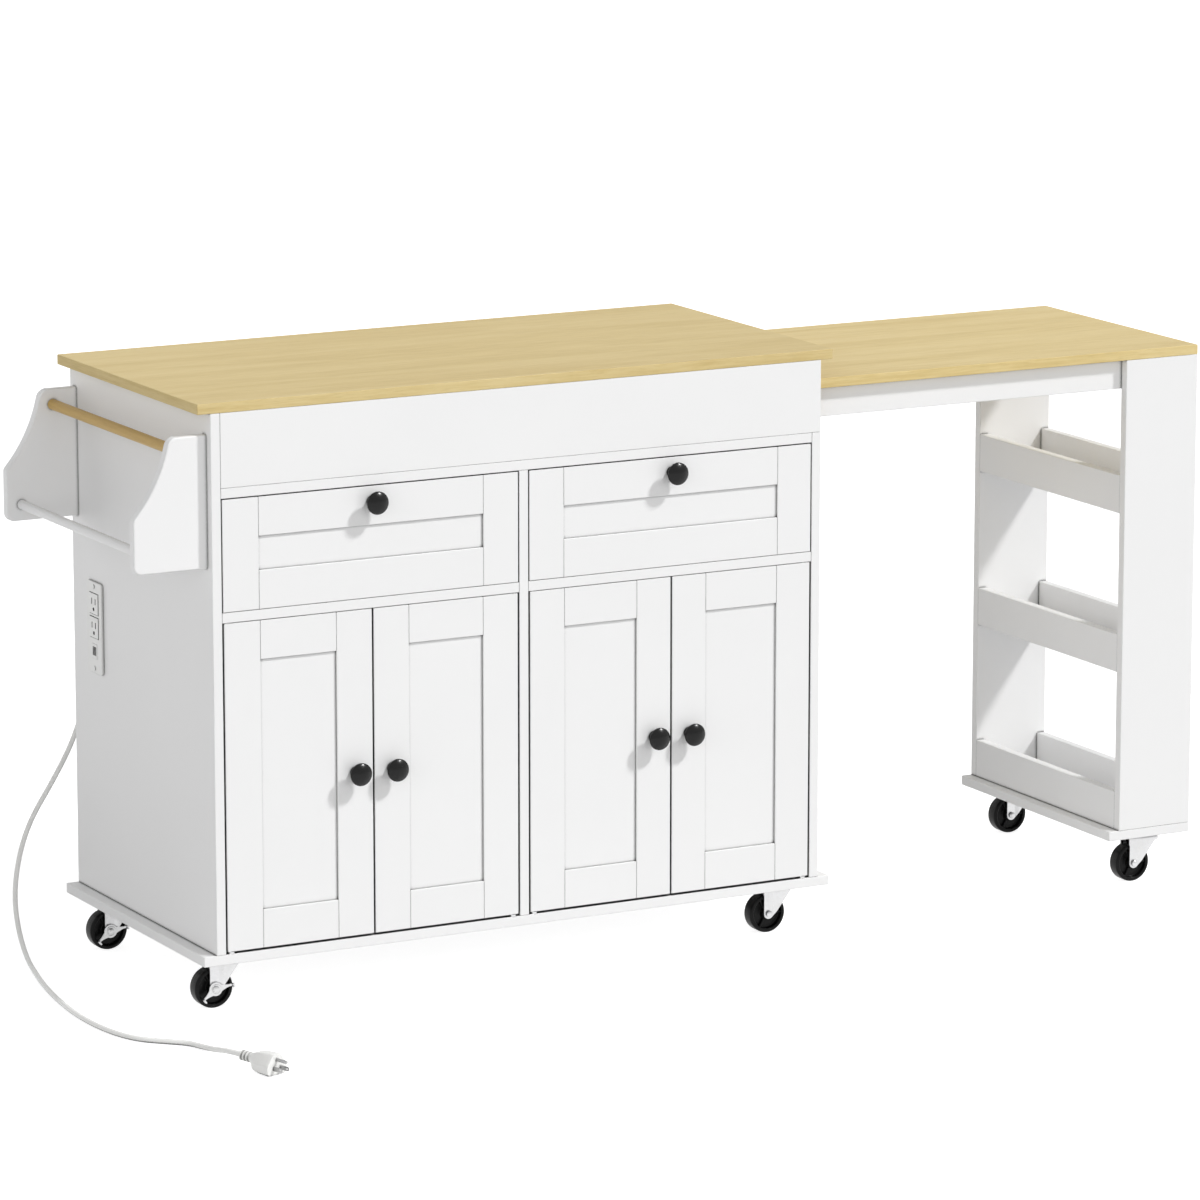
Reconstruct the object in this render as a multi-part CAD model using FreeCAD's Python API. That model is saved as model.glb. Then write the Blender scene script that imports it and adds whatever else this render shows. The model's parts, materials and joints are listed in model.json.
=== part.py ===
# Rolling kitchen island: a white cabinet on casters with two drawers over two pairs of doors, a towel
# rack and a power outlet on its left end, and a table leaf on a spice tower that slides out of its
# right end. Millimetres. +X runs along the island towards the leaf, the front faces -Y, +Z is up, and
# the origin lies on the floor under the middle of the island's box, the cord left aside.
import FreeCAD, Part
import math
import os

from FreeCAD import Vector

# Cabinet
BOARD = 15.0                # every structural board
EDGE = 0.8                  # eased edge on the boards
BACK_PANEL = 5.0            # thin board that closes the back
BODY_WIDTH = 1000.0         # over the two side panels
BODY_DEPTH = 500.0          # front face to back face
HEIGHT = 900.0              # floor to worktop
END_OVERHANG = 20.0         # worktop and base board past each side panel
DRAWER_OPENING = 166.0      # clear height of the drawer bays
SHELF_DROP = 91.0           # inner shelves below the outlet's housing
SHELF_SETBACK = 24.0        # inner shelves behind the backs of the doors

# Doors and drawer fronts, inset flush with the cabinet's front
DOOR_GAP = 2.6              # beside a door, and between the two of a pair
DOOR_FOOT_GAP = 3.4
DOOR_HEAD_GAP = 0.8
DRAWER_GAP = 1.6            # beside and above a drawer front
DRAWER_FOOT_GAP = 0.6
FRONT_THICKNESS = 15.0
FRAME_WIDTH = 57.0          # stiles and rails
PANEL_RECESS = 3.5          # panel behind the frame's face
PIN_RADIUS = 2.5            # door pivot pins and shelf supports
PIN_SEAT = 9.0              # how deep a pivot pin sits in a board or a door
SHELF_PIN_SEAT = 6.0        # how deep a shelf support sits in a bay's wall
PIVOT_INSET = 7.4           # pivot axis from the door's hinge edge
PIVOT_DEPTH = 5.0           # pivot axis behind the door's face
PIN_COLLAR = 5.0            # radius of the collar that carries the door
SHELF_LEDGE = 10.0          # square ledge of a shelf support
LEDGE_THICKNESS = 3.0
CATCH_SIZE = (46.0, 15.0, 13.0)
RUNNING = 0.05              # radial clearance of pins, axles and shanks
SLIDE = 0.3                 # clearance of sliding faces and of faces that turn past each other

# Drawer boxes, grooved to hang on runner strips
DRAWER_BACK_GAP = 80.0      # drawer box to the back panel
DRAWER_SIDE_HEIGHT = 110.0
DRAWER_RISE = 14.0          # box above the bottom of the bay
DRAWER_BOARD = 12.0
DRAWER_BOTTOM = 6.0
RUNNER_GAP = 12.5           # drawer side to the bay's wall
RUNNER_HEIGHT = 16.0
RUNNER_BITE = 5.5           # how far a runner reaches into the groove
RUNNER_START = 20.0         # front end of a runner behind the drawer front

# Knobs
KNOB_RADIUS = 17.0
KNOB_PROJECTION = 27.0
KNOB_FOOT_RADIUS = 8.5
KNOB_NECK_RADIUS = 6.5
KNOB_FOOT_HEIGHT = 3.0
KNOB_NECK_TOP = 14.5        # where the neck opens into the head
KNOB_RIM = (18.0, 21.0)     # lower and upper edge of the head's widest ring
KNOB_SCREW_RADIUS = 2.0
KNOB_SCREW_BITE = 9.0
KNOB_SCREW_HEAD_RADIUS = 4.0
KNOB_SCREW_HEAD = 2.2
DOOR_KNOB_RISE = 244.6      # above the door's bottom edge
DRAWER_KNOB_DROP = 22.0     # below the drawer front's top edge

# Sliding leaf and spice tower
LEAF_REACH = 690.0          # leaf past the cabinet's right face when pulled out
LEAF_DROP = 34.0            # leaf below the underside of the worktop
LEAF_SETBACK = 29.0         # leaf behind the cabinet's front, and before its back
LEAF_END_GAP = 10.0         # leaf to left side panel when pushed home
STOP_GAP = 2.0              # tower base to cabinet base when pushed home
APRON_HEIGHT = 46.0
LEDGE_HEIGHT = 14.0         # ledge of the leaf guides, on which the aprons run
TOWER_WIDTH = 130.0
TOWER_BASE_OVERHANG = 18.0  # tower base past the tower, on the cabinet's side
TIER_SPACING = 251.0        # tower base top to shelf underside, and shelf to shelf
TIER_COUNT = 3
TOWER_RAIL = 60.0           # height of the rails that keep the tiers

# Towel rack on the left side panel
RACK_DEPTH = 115.0
RACK_HEIGHT = 194.0
RACK_DROP = 32.0            # brackets below the underside of the worktop
RACK_FRONT_INSET = 14.0     # front bracket behind the cabinet's front
RACK_BACK_INSET = 10.0      # rear bracket before the cabinet's back
RACK_TOP_FLAT = 45.0        # level top of a bracket
RACK_TOP_RADIUS = 16.0
RACK_NOSE = 74.0            # upright outer edge of a bracket
RACK_NOSE_RADIUS = 11.0
RACK_FOOT_RADIUS = 12.0
RACK_SWEEP = 7.0            # hollow of the bracket's sweeping edge
RACK_SWEEP_START = 170.0    # direction, in degrees, at which the top's rounding gives way to the sweep
RACK_SWEEP_END = 135.0      # and at which the sweep gives way to the nose's rounding
RACK_ROUND = 2.5            # rounding round both faces of a bracket
RACK_BORE_DEPTH = 10.0      # blind bores for the two bars
TOWEL_BAR_RADIUS = 8.0
TOWEL_BAR_REACH = 39.0      # from the side panel
TOWEL_BAR_DROP = 23.0       # below the top of the brackets
LOWER_RAIL_RADIUS = 7.0
LOWER_RAIL_REACH = 92.0
LOWER_RAIL_RISE = 25.0      # above the bottom of the brackets

# Power outlet on the left side panel, and its housing in the cabinet's corner
OUTLET_FROM_BACK = 85.0     # middle of the plate
OUTLET_DROP = 80.0          # middle of the plate below the mid boards
PLATE_WIDTH = 52.0
PLATE_HEIGHT = 137.0
PLATE_THICKNESS = 4.0
PLATE_ROUND = 4.0
OUTLET_PITCH = 36.0         # receptacle to receptacle to charging block
SOCKET_FACE = 31.0          # square receptacle face
SOCKET_PROUD = 0.8
SOCKET_DEPTH = 12.0
BLADE_SLOT = (2.8, 9.0)
BLADE_SPREAD = 12.7
BLADE_RISE = 3.4            # blade slots above the middle of the face
EARTH_OFFSET = 11.9         # earth hole, and the plug's earth pin, from the line of the blades
EARTH_RADIUS = 3.0
CHARGE_FACE = (18.0, 22.0)
CHARGE_SLOT = (3.4, 13.5)   # upright slots, side by side
CHARGE_PITCH = 4.6
CHARGE_COUNT = 3
CHARGE_PROUD = 0.3
CHARGE_FIT = 0.2            # window round the charging block
OUTLET_SCREW_SPREAD = 124.0
OUTLET_SCREW_RADIUS = 1.6
OUTLET_SCREW_HEAD = (3.2, 1.2)
HOUSING_WIDTH = 42.0
HOUSING_HEIGHT = 134.0
HOUSING_DEPTH = 48.0        # from the side panel's outer face
HOUSING_FIT = 1.0           # opening round the housing, and window round a receptacle

# Power cord, its gland in the back panel and its plug on the floor
CORD_RADIUS = 4.0
GLAND_X = 40.0              # from the cabinet's left face
GLAND_DROP = 50.0           # below the middle of the outlet
GLAND_FLANGE = (11.0, 3.0)
GLAND_NOSE = (8.0, 5.5, 27.0)
GLAND_SHANK = 6.5
CORD_LEAD = 32.0            # straight run out of the gland's nose
# Route on from there to the plug: X from the cabinet's left face, Y from its back, Z from the floor
CORD_ROUTE = (
    (50, 88, 430), (66, 95, 397), (60, 96, 352), (47, 96, 315), (29, 95, 274), (-6, 85, 226), (-47, 70, 179),
    (-77, 47, 131), (-101, 11, 79), (-115, -38, 36), (-127, -98, 9), (-141, -163, 4.1),
    (-157, -233, 4.1), (-172, -322, 4.1), (-180, -420, 4.1), (-174, -506, 4.1), (-156, -562, 4.1),
    (-126, -592, 4.1), (-98, -617, 4.1), (-89, -649, 4.7), (-86, -684, 9), (-84, -717, 15.9),
    (-75, -746, 15.9),
)
ARC_SHARE = 0.45            # share of the shorter run that an arc takes up
PLUG_NECK_RADIUS = 6.0
PLUG_RIB_RADIUS = 7.8
PLUG_RIB_COUNT = 3
PLUG_RIB_PITCH = 6.6
PLUG_RIB_WIDTH = 3.8
# Sections of the plug's grip: place along the plug, width, height, width of the narrow top
PLUG_SECTIONS = (
    (20.0, 14.0, 14.0, 6.0), (38.0, 33.0, 26.0, 13.0), (68.0, 38.0, 31.0, 15.5), (72.0, 36.0, 29.5, 14.5),
)
PLUG_BLADE = (18.0, 1.6, 6.4)
PLUG_BLADE_DROP = 4.9       # blades below the plug's middle
PLUG_EARTH = (2.4, 21.0)

# Casters
CASTER_HEIGHT = 77.0        # floor to base board
CASTER_INSET_X = 58.0       # swivel axis from the base board's ends
CASTER_INSET_Y = 61.0       # and from its front and back
TOWER_CASTER_INSET_Y = 39.0
CASTER_TRAIL = 20.0         # axle beside the swivel axis
WHEEL_RADIUS = 30.0
WHEEL_WIDTH = 22.0
WHEEL_ROUND = 3.0
WHEEL_RIM = 6.0             # rim thickness
WHEEL_HUB_RADIUS = 9.0
WHEEL_WEB = 7.0
WHEEL_RIB = 4.0
WHEEL_RIB_BITE = 1.0        # how far a rib's ends reach into hub and rim
WHEEL_RIB_COUNT = 3
AXLE_RADIUS = 3.0
AXLE_HEAD = (5.0, 2.0)
PLATE_SIZE = (60.0, 50.0)
PLATE_STEEL = 2.5
PLATE_HOLE_INSET = 7.0
RACEWAY = (19.0, 3.0)
KINGPIN_RADIUS = 4.0
KINGPIN_HEAD = (7.0, 2.5)
FORK_STEEL = 2.3
FORK_WHEEL_GAP = 1.0
FORK_EYE = 8.0              # rounded end of a fork leg
FORK_TOP_REACH = 22.0       # fork leg past the swivel axis
FORK_SLOPE_FOOT = 330.0     # direction, in degrees, at which the eye gives way to the leg's slope
CASTER_SCREW = (2.2, 14.0)
CASTER_SCREW_HEAD = (4.2, 2.0)
PEDAL_THICKNESS = 2.5
PEDAL_BOSS = 9.5
PEDAL_TOE = (-20.0, -15.0, 2.0)   # low end: X and Z from the axle, radius
PEDAL_HEEL = (26.0, 4.0, 2.0)     # high end
PEDAL_LIP = 8.0             # how far the lip at each end stands out

# Levels
BASE_TOP = CASTER_HEIGHT + BOARD
TOP_UNDER = HEIGHT - BOARD
LEAF_TOP = TOP_UNDER - LEAF_DROP
LEAF_UNDER = LEAF_TOP - BOARD
APRON_UNDER = LEAF_UNDER - APRON_HEIGHT
BAY_FLOOR = APRON_UNDER - LEDGE_HEIGHT
SUB_TOP_UNDER = BAY_FLOOR - BOARD
MID_TOP = SUB_TOP_UNDER - DRAWER_OPENING
MID_UNDER = MID_TOP - BOARD
OUTLET_LEVEL = MID_UNDER - OUTLET_DROP
SHELF_UNDER = OUTLET_LEVEL - HOUSING_HEIGHT / 2 - SHELF_DROP - BOARD
GLAND_LEVEL = OUTLET_LEVEL - GLAND_DROP

# Places along X and Y
LENGTH = RACK_DEPTH + BODY_WIDTH + LEAF_REACH
LEFT = RACK_DEPTH - LENGTH / 2
RIGHT = LEFT + BODY_WIDTH
MIDDLE = (LEFT + RIGHT) / 2
FRONT = (KNOB_PROJECTION - BODY_DEPTH) / 2
BACK = FRONT + BODY_DEPTH
BASE_ENDS = (LEFT - END_OVERHANG, RIGHT + END_OVERHANG)
BEHIND_FRONTS = FRONT + FRONT_THICKNESS
PANEL_FACE = BACK - BACK_PANEL
BAYS = {
    "left": (LEFT + BOARD, MIDDLE - BOARD / 2),
    "right": (MIDDLE + BOARD / 2, RIGHT - BOARD),
}
TOWER_RIGHT = RIGHT + LEAF_REACH
TOWER_LEFT = TOWER_RIGHT - TOWER_WIDTH
TOWER_BASE_LEFT = TOWER_LEFT - TOWER_BASE_OVERHANG
LEAF_TRAVEL = TOWER_BASE_LEFT - BASE_ENDS[1] - STOP_GAP
LEAF_LEFT = LEFT + BOARD + LEAF_END_GAP + LEAF_TRAVEL
LEAF_FRONT = FRONT + LEAF_SETBACK
LEAF_BACK = BACK - LEAF_SETBACK

UP = Vector(0, 0, 1)
ALONG_X = Vector(1, 0, 0)
ALONG_Y = Vector(0, 1, 0)


# Shape helpers
def around(middle, size):
    """Pair of coordinates, size apart, about a middle."""
    return (middle - size / 2, middle + size / 2)


def widened(pair, margin):
    return (pair[0] - margin, pair[1] + margin)


def block(x, y, z):
    """Plain box between pairs of coordinates."""
    return Part.makeBox(x[1] - x[0], y[1] - y[0], z[1] - z[0], Vector(x[0], y[0], z[0]))


def board(x, y, z):
    """Box with eased edges."""
    plain = block(x, y, z)
    return plain.makeChamfer(EDGE, plain.Edges)


def rod(radius, length, start, direction):
    return Part.makeCylinder(radius, length, Vector(*start), direction)


def flat(point):
    return Vector(point[0], 0, point[1])


def profile(start, *moves):
    """Face in the XZ plane. A move to (x, z) is a line, and a move to (through, end) is an arc."""
    edges = []
    here = start
    for move in (*moves, start):
        if isinstance(move[0], tuple):
            through, end = move
            edges.append(Part.Arc(flat(here), flat(through), flat(end)).toShape())
        else:
            end = move
            if end != here:
                edges.append(Part.LineSegment(flat(here), flat(end)).toShape())
        here = end
    return Part.Face(Part.Wire(edges))


def corner(centre, radius, degrees):
    """Point on a circle in the XZ plane."""
    angle = math.radians(degrees)
    return (centre[0] + radius * math.cos(angle), centre[1] + radius * math.sin(angle))


def arc(centre, radius, start, end):
    """Move of an outline along a circle, between two angles: the point half way and the last point."""
    return (corner(centre, radius, (start + end) / 2), corner(centre, radius, end))


def turned(face):
    """Face revolved about the Z axis."""
    return face.revolve(Vector(), UP, 360)


def placed(shape, position, rotation=FreeCAD.Rotation()):
    moved = shape.copy()
    moved.Placement = FreeCAD.Placement(Vector(*position), rotation)
    return moved


def tangent_hull(first, second):
    """Face around two circles (x, z, radius) in the XZ plane, closed by their outer tangents."""
    span = (second[0] - first[0], second[1] - first[1])
    heading = math.degrees(math.atan2(span[1], span[0]))
    spread = math.degrees(math.acos((first[2] - second[2]) / math.hypot(*span)))
    return profile(
        corner(first, first[2], heading + spread),
        arc(first, first[2], heading + spread, heading + 360 - spread),
        corner(second, second[2], heading - spread),
        arc(second, second[2], heading - spread, heading + spread),
    )


NODES = {}


def keep(name, *solids):
    NODES[name] = solids


# Cabinet carcass
def make_carcass():
    outlet = outlet_centre()
    depth = (FRONT, BACK)
    inner_depth = (FRONT, PANEL_FACE)
    inner_width = (LEFT + BOARD, RIGHT - BOARD)
    keep("worktop", board(BASE_ENDS, depth, (TOP_UNDER, HEIGHT)))

    left_panel = board((LEFT, LEFT + BOARD), depth, (BASE_TOP, TOP_UNDER))
    window = block(
        (LEFT, LEFT + BOARD),
        around(outlet[1], HOUSING_WIDTH + 2 * HOUSING_FIT),
        around(outlet[2], HOUSING_HEIGHT + 2 * HOUSING_FIT),
    )
    right_panel = board((RIGHT - BOARD, RIGHT), depth, (BASE_TOP, BAY_FLOOR))
    divider = board((MIDDLE - BOARD / 2, MIDDLE + BOARD / 2), inner_depth, (BASE_TOP, SUB_TOP_UNDER))
    pins = [rod(PIN_RADIUS + RUNNING, 2 * SHELF_PIN_SEAT, (x - SHELF_PIN_SEAT, y, z), ALONG_X)
            for x, y, z, _ in shelf_pin_places()]
    keep("left_side_panel", left_panel.cut([window, *pins]))
    keep("right_side_panel", right_panel.cut(pins))
    keep("centre_divider", divider.cut(pins))

    pivots = [rod(PIN_RADIUS + RUNNING, 2 * PIN_SEAT, (x, y, z - PIN_SEAT), UP)
              for x, y in pivot_places() for z in (BASE_TOP, MID_UNDER)]
    base = board(BASE_ENDS, depth, (CASTER_HEIGHT, BASE_TOP))
    keep("base_board", base.cut(pivots + caster_screw_holes(cabinet_casters())))
    keep("mid_boards", *[board(bay, inner_depth, (MID_UNDER, MID_TOP)).cut(pivots) for bay in BAYS.values()])
    keep("sub_top_board", board(inner_width, depth, (SUB_TOP_UNDER, BAY_FLOOR)))
    bay_length = (LEFT + BOARD, RIGHT)
    keep("fascia_panel", board(bay_length, (FRONT, FRONT + BOARD), (BAY_FLOOR, TOP_UNDER)))
    keep("rear_top_rail", board(bay_length, (BACK - BOARD, BACK), (BAY_FLOOR, TOP_UNDER)))
    gland_hole = rod(GLAND_SHANK + RUNNING, BACK_PANEL, (LEFT + GLAND_X, PANEL_FACE, GLAND_LEVEL), ALONG_Y)
    back = block(inner_width, (PANEL_FACE, BACK), (BASE_TOP, SUB_TOP_UNDER))
    keep("back_panel", back.cut(gland_hole))


def make_inner_shelves():
    """One loose shelf in each door bay, below the level of the outlet's housing."""
    shelves = []
    for bay in BAYS.values():
        shelves.append(board(
            (bay[0] + SLIDE, bay[1] - SLIDE),
            (BEHIND_FRONTS + SHELF_SETBACK, PANEL_FACE - SLIDE),
            (SHELF_UNDER, SHELF_UNDER + BOARD),
        ))
    keep("inner_shelves", *shelves)


def shelf_pin_places():
    """Point on a bay's wall under each shelf corner, and the side (1 or -1) that the ledge is on."""
    inset = SHELF_LEDGE + SHELF_SETBACK
    rows = (BEHIND_FRONTS + SHELF_SETBACK + inset, PANEL_FACE - inset)
    z = SHELF_UNDER - LEDGE_THICKNESS
    return [(wall, y, z, side)
            for bay in BAYS.values()
            for wall, side in ((bay[0], 1), (bay[1], -1))
            for y in rows]


def door_places():
    """Name, X range, hinge side (1 where the hinge edge is the left one) of each door."""
    doors = {}
    for bay_name, bay in BAYS.items():
        middle = (bay[0] + bay[1]) / 2
        doors[f"{bay_name}_bay_left_door"] = ((bay[0] + DOOR_GAP, middle - DOOR_GAP / 2), 1)
        doors[f"{bay_name}_bay_right_door"] = ((middle + DOOR_GAP / 2, bay[1] - DOOR_GAP), -1)
    return doors


def pivot_places():
    y = FRONT + PIVOT_DEPTH
    places = []
    for x, hinge in door_places().values():
        places.append((x[0] + PIVOT_INSET if hinge > 0 else x[1] - PIVOT_INSET, y))
    return places


def make_pins():
    """Pivot pins with the collars that carry the doors, and ledged supports under the inner shelves."""
    solids = []
    for x, y in pivot_places():
        for z, way, gap in ((BASE_TOP, 1, DOOR_FOOT_GAP), (MID_UNDER, -1, DOOR_HEAD_GAP)):
            pin = rod(PIN_RADIUS, 2 * PIN_SEAT - SLIDE, (x, y, z - way * PIN_SEAT), UP * way)
            collar = rod(PIN_COLLAR, gap - SLIDE, (x, y, z), UP * way)
            solids.append(pin.fuse(collar))
    for x, y, z, side in shelf_pin_places():
        start = (x - side * SHELF_PIN_SEAT, y, z)
        pin = rod(PIN_RADIUS, SHELF_PIN_SEAT + SHELF_LEDGE, start, ALONG_X * side)
        ledge = block(
            sorted((x, x + side * SHELF_LEDGE)),
            around(y, SHELF_LEDGE),
            (SHELF_UNDER - LEDGE_THICKNESS, SHELF_UNDER),
        )
        solids.append(pin.fuse(ledge))
    keep("pivot_and_shelf_pins", *solids)


def make_catches():
    """Magnetic catch under each mid board, behind the meeting stiles."""
    catches = []
    for bay in BAYS.values():
        y = (BEHIND_FRONTS + SLIDE, BEHIND_FRONTS + SLIDE + CATCH_SIZE[1])
        z = (MID_UNDER - CATCH_SIZE[2], MID_UNDER)
        catches.append(board(around((bay[0] + bay[1]) / 2, CATCH_SIZE[0]), y, z))
    keep("door_catches", *catches)


# Framed fronts and knobs
def framed_front(x, z, holes):
    """Two full-height stiles, two rails between them and a recessed panel, drilled by the holes."""
    y = (FRONT, BEHIND_FRONTS)
    inner_x = (x[0] + FRAME_WIDTH, x[1] - FRAME_WIDTH)
    inner_z = (z[0] + FRAME_WIDTH, z[1] - FRAME_WIDTH)
    frame = [
        board((x[0], inner_x[0]), y, z),
        board((inner_x[1], x[1]), y, z),
        board(inner_x, y, (z[0], inner_z[0])),
        board(inner_x, y, (inner_z[1], z[1])),
    ]
    panel = block(inner_x, (FRONT + PANEL_RECESS, BEHIND_FRONTS), inner_z)
    return [piece.cut(holes) for piece in frame] + [panel]


def knob_shape():
    """Mushroom knob about the Z axis: foot, waisted neck, flared head with a low dome."""
    foot = (KNOB_FOOT_RADIUS, KNOB_FOOT_HEIGHT)
    neck = (KNOB_NECK_RADIUS, (KNOB_FOOT_HEIGHT + KNOB_NECK_TOP) / 2)
    flare = (KNOB_FOOT_RADIUS, KNOB_NECK_TOP)
    rise = KNOB_PROJECTION - KNOB_RIM[1]
    dome_radius = (KNOB_RADIUS ** 2 + rise ** 2) / (2 * rise)
    dome_centre = (0, KNOB_PROJECTION - dome_radius)
    dome_angle = math.degrees(math.acos(KNOB_RADIUS / dome_radius))
    top = (0, KNOB_PROJECTION)
    return turned(profile(
        (0, 0), (KNOB_FOOT_RADIUS, 0), foot, (neck, flare),
        (KNOB_RADIUS, KNOB_RIM[0]), (KNOB_RADIUS, KNOB_RIM[1]),
        (corner(dome_centre, dome_radius, (dome_angle + 90) / 2), top),
    ))


def knob_with_screw(x, z):
    """Knob on a front, and the screw that holds it from behind."""
    outward = FreeCAD.Rotation(UP, -ALONG_Y)
    screw_length = FRONT_THICKNESS + KNOB_SCREW_BITE
    bore = rod(KNOB_SCREW_RADIUS + RUNNING, KNOB_SCREW_BITE, (0, 0, 0), UP)
    knob = placed(knob_shape().cut(bore), (x, FRONT, z), outward)
    shank = rod(KNOB_SCREW_RADIUS, screw_length, (x, BEHIND_FRONTS, z), -ALONG_Y)
    head = rod(KNOB_SCREW_HEAD_RADIUS, KNOB_SCREW_HEAD, (x, BEHIND_FRONTS, z), ALONG_Y)
    return [knob, shank.fuse(head)]


def knob_hole(x, z):
    return rod(KNOB_SCREW_RADIUS + RUNNING, FRONT_THICKNESS, (x, FRONT, z), ALONG_Y)


def make_doors():
    z = (BASE_TOP + DOOR_FOOT_GAP, MID_UNDER - DOOR_HEAD_GAP)
    for (name, (x, hinge)), (pivot_x, pivot_y) in zip(door_places().items(), pivot_places()):
        knob_x = x[1] - FRAME_WIDTH / 2 if hinge > 0 else x[0] + FRAME_WIDTH / 2
        knob_z = z[0] + DOOR_KNOB_RISE
        holes = [
            rod(PIN_RADIUS + RUNNING, PIN_SEAT - DOOR_FOOT_GAP, (pivot_x, pivot_y, z[0]), UP),
            rod(PIN_RADIUS + RUNNING, PIN_SEAT - DOOR_HEAD_GAP, (pivot_x, pivot_y, z[1]), -UP),
            knob_hole(knob_x, knob_z),
        ]
        keep(name, *framed_front(x, z, holes))
        keep(f"{name}_knob", *knob_with_screw(knob_x, knob_z))


# Drawers
def drawer_levels():
    floor = MID_TOP + DRAWER_RISE
    return (floor, floor + DRAWER_SIDE_HEIGHT)


def runner_level():
    return sum(drawer_levels()) / 2


def make_drawers():
    z = drawer_levels()
    y = (BEHIND_FRONTS, PANEL_FACE - DRAWER_BACK_GAP)
    runners = []
    for name, bay in BAYS.items():
        front_x = (bay[0] + DRAWER_GAP, bay[1] - DRAWER_GAP)
        front_z = (MID_TOP + DRAWER_FOOT_GAP, SUB_TOP_UNDER - DRAWER_GAP)
        knob_x = (bay[0] + bay[1]) / 2
        knob_z = front_z[1] - DRAWER_KNOB_DROP
        keep(f"{name}_drawer_front", *framed_front(front_x, front_z, [knob_hole(knob_x, knob_z)]))
        keep(f"{name}_drawer_knob", *knob_with_screw(knob_x, knob_z))

        box_x = (bay[0] + RUNNER_GAP, bay[1] - RUNNER_GAP)
        inner_x = (box_x[0] + DRAWER_BOARD, box_x[1] - DRAWER_BOARD)
        bite = RUNNER_BITE + SLIDE
        groove_z = around(runner_level(), RUNNER_HEIGHT + 2 * SLIDE)
        groove_y = (y[0] + RUNNER_START - SLIDE, y[1])
        left = block((box_x[0], inner_x[0]), y, z)
        right = block((inner_x[1], box_x[1]), y, z)
        keep(
            f"{name}_drawer_box",
            left.cut(block((box_x[0], box_x[0] + bite), groove_y, groove_z)),
            right.cut(block((box_x[1] - bite, box_x[1]), groove_y, groove_z)),
            block(inner_x, (y[1] - DRAWER_BOARD, y[1]), (z[0] + DRAWER_BOTTOM, z[1])),
            block(inner_x, y, (z[0], z[0] + DRAWER_BOTTOM)),
        )
        runner_y = (y[0] + RUNNER_START, PANEL_FACE)
        runner_z = around(runner_level(), RUNNER_HEIGHT)
        reach = RUNNER_GAP + RUNNER_BITE
        runners.append(block((bay[0], bay[0] + reach), runner_y, runner_z))
        runners.append(block((bay[1] - reach, bay[1]), runner_y, runner_z))
    keep("drawer_runners", *runners)


# Leaf, its guides and the spice tower
def make_leaf():
    keep("leaf_top", board((LEAF_LEFT, TOWER_RIGHT), (LEAF_FRONT, LEAF_BACK), (LEAF_UNDER, LEAF_TOP)))
    apron_x = (LEAF_LEFT, TOWER_RIGHT)
    z = (APRON_UNDER, LEAF_UNDER)
    front_y = (LEAF_FRONT + BOARD, LEAF_FRONT + 2 * BOARD)
    back_y = (LEAF_BACK - 2 * BOARD, LEAF_BACK - BOARD)
    keep(
        "leaf_aprons",
        board(apron_x, front_y, z),
        board(apron_x, back_y, z),
        board((LEAF_LEFT, LEAF_LEFT + BOARD), (front_y[1], back_y[0]), z),
    )
    guides = []
    for wall, leaf_edge, apron in (
        (FRONT + BOARD, LEAF_FRONT - SLIDE, front_y[1]),
        (BACK - BOARD, LEAF_BACK + SLIDE, back_y[0]),
    ):
        x = (LEFT + BOARD, RIGHT)
        upright = block(x, sorted((wall, leaf_edge)), (BAY_FLOOR, LEAF_TOP))
        ledge = block(x, sorted((wall, apron)), (BAY_FLOOR, APRON_UNDER - SLIDE))
        guides.append(upright.fuse(ledge).removeSplitter())
    keep("leaf_guides", *guides)


def make_tower():
    width = (TOWER_LEFT, TOWER_RIGHT)
    front = (LEAF_FRONT, LEAF_FRONT + BOARD)
    back = (LEAF_BACK - BOARD, LEAF_BACK)
    between = (front[1], back[0])
    upright = (BASE_TOP, LEAF_UNDER)
    base = board((TOWER_BASE_LEFT, TOWER_RIGHT), (LEAF_FRONT, LEAF_BACK), (CASTER_HEIGHT, BASE_TOP))
    keep("tower_base_board", base.cut(caster_screw_holes(tower_casters())))
    keep("tower_sides", board(width, front, upright), board(width, back, upright))
    inner = (width[0] + BOARD, width[1] - BOARD)
    tiers = [BASE_TOP + TIER_SPACING * step for step in range(TIER_COUNT)]
    keep("tower_shelves", *[board(inner, between, (tier, tier + BOARD)) for tier in tiers[1:]])
    rails = []
    for tier in tiers:
        for x in ((width[0], inner[0]), (inner[1], width[1])):
            rails.append(board(x, between, (tier, tier + TOWER_RAIL)))
    keep("tower_rails", *rails)


# Towel rack
def rims(plate):
    """Edges round the two faces of a bracket, but for those on the side panel."""
    return [edge for edge in plate.Edges
            if edge.BoundBox.YLength < RACK_ROUND and edge.CenterOfMass.x < LEFT - RACK_ROUND]


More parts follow.
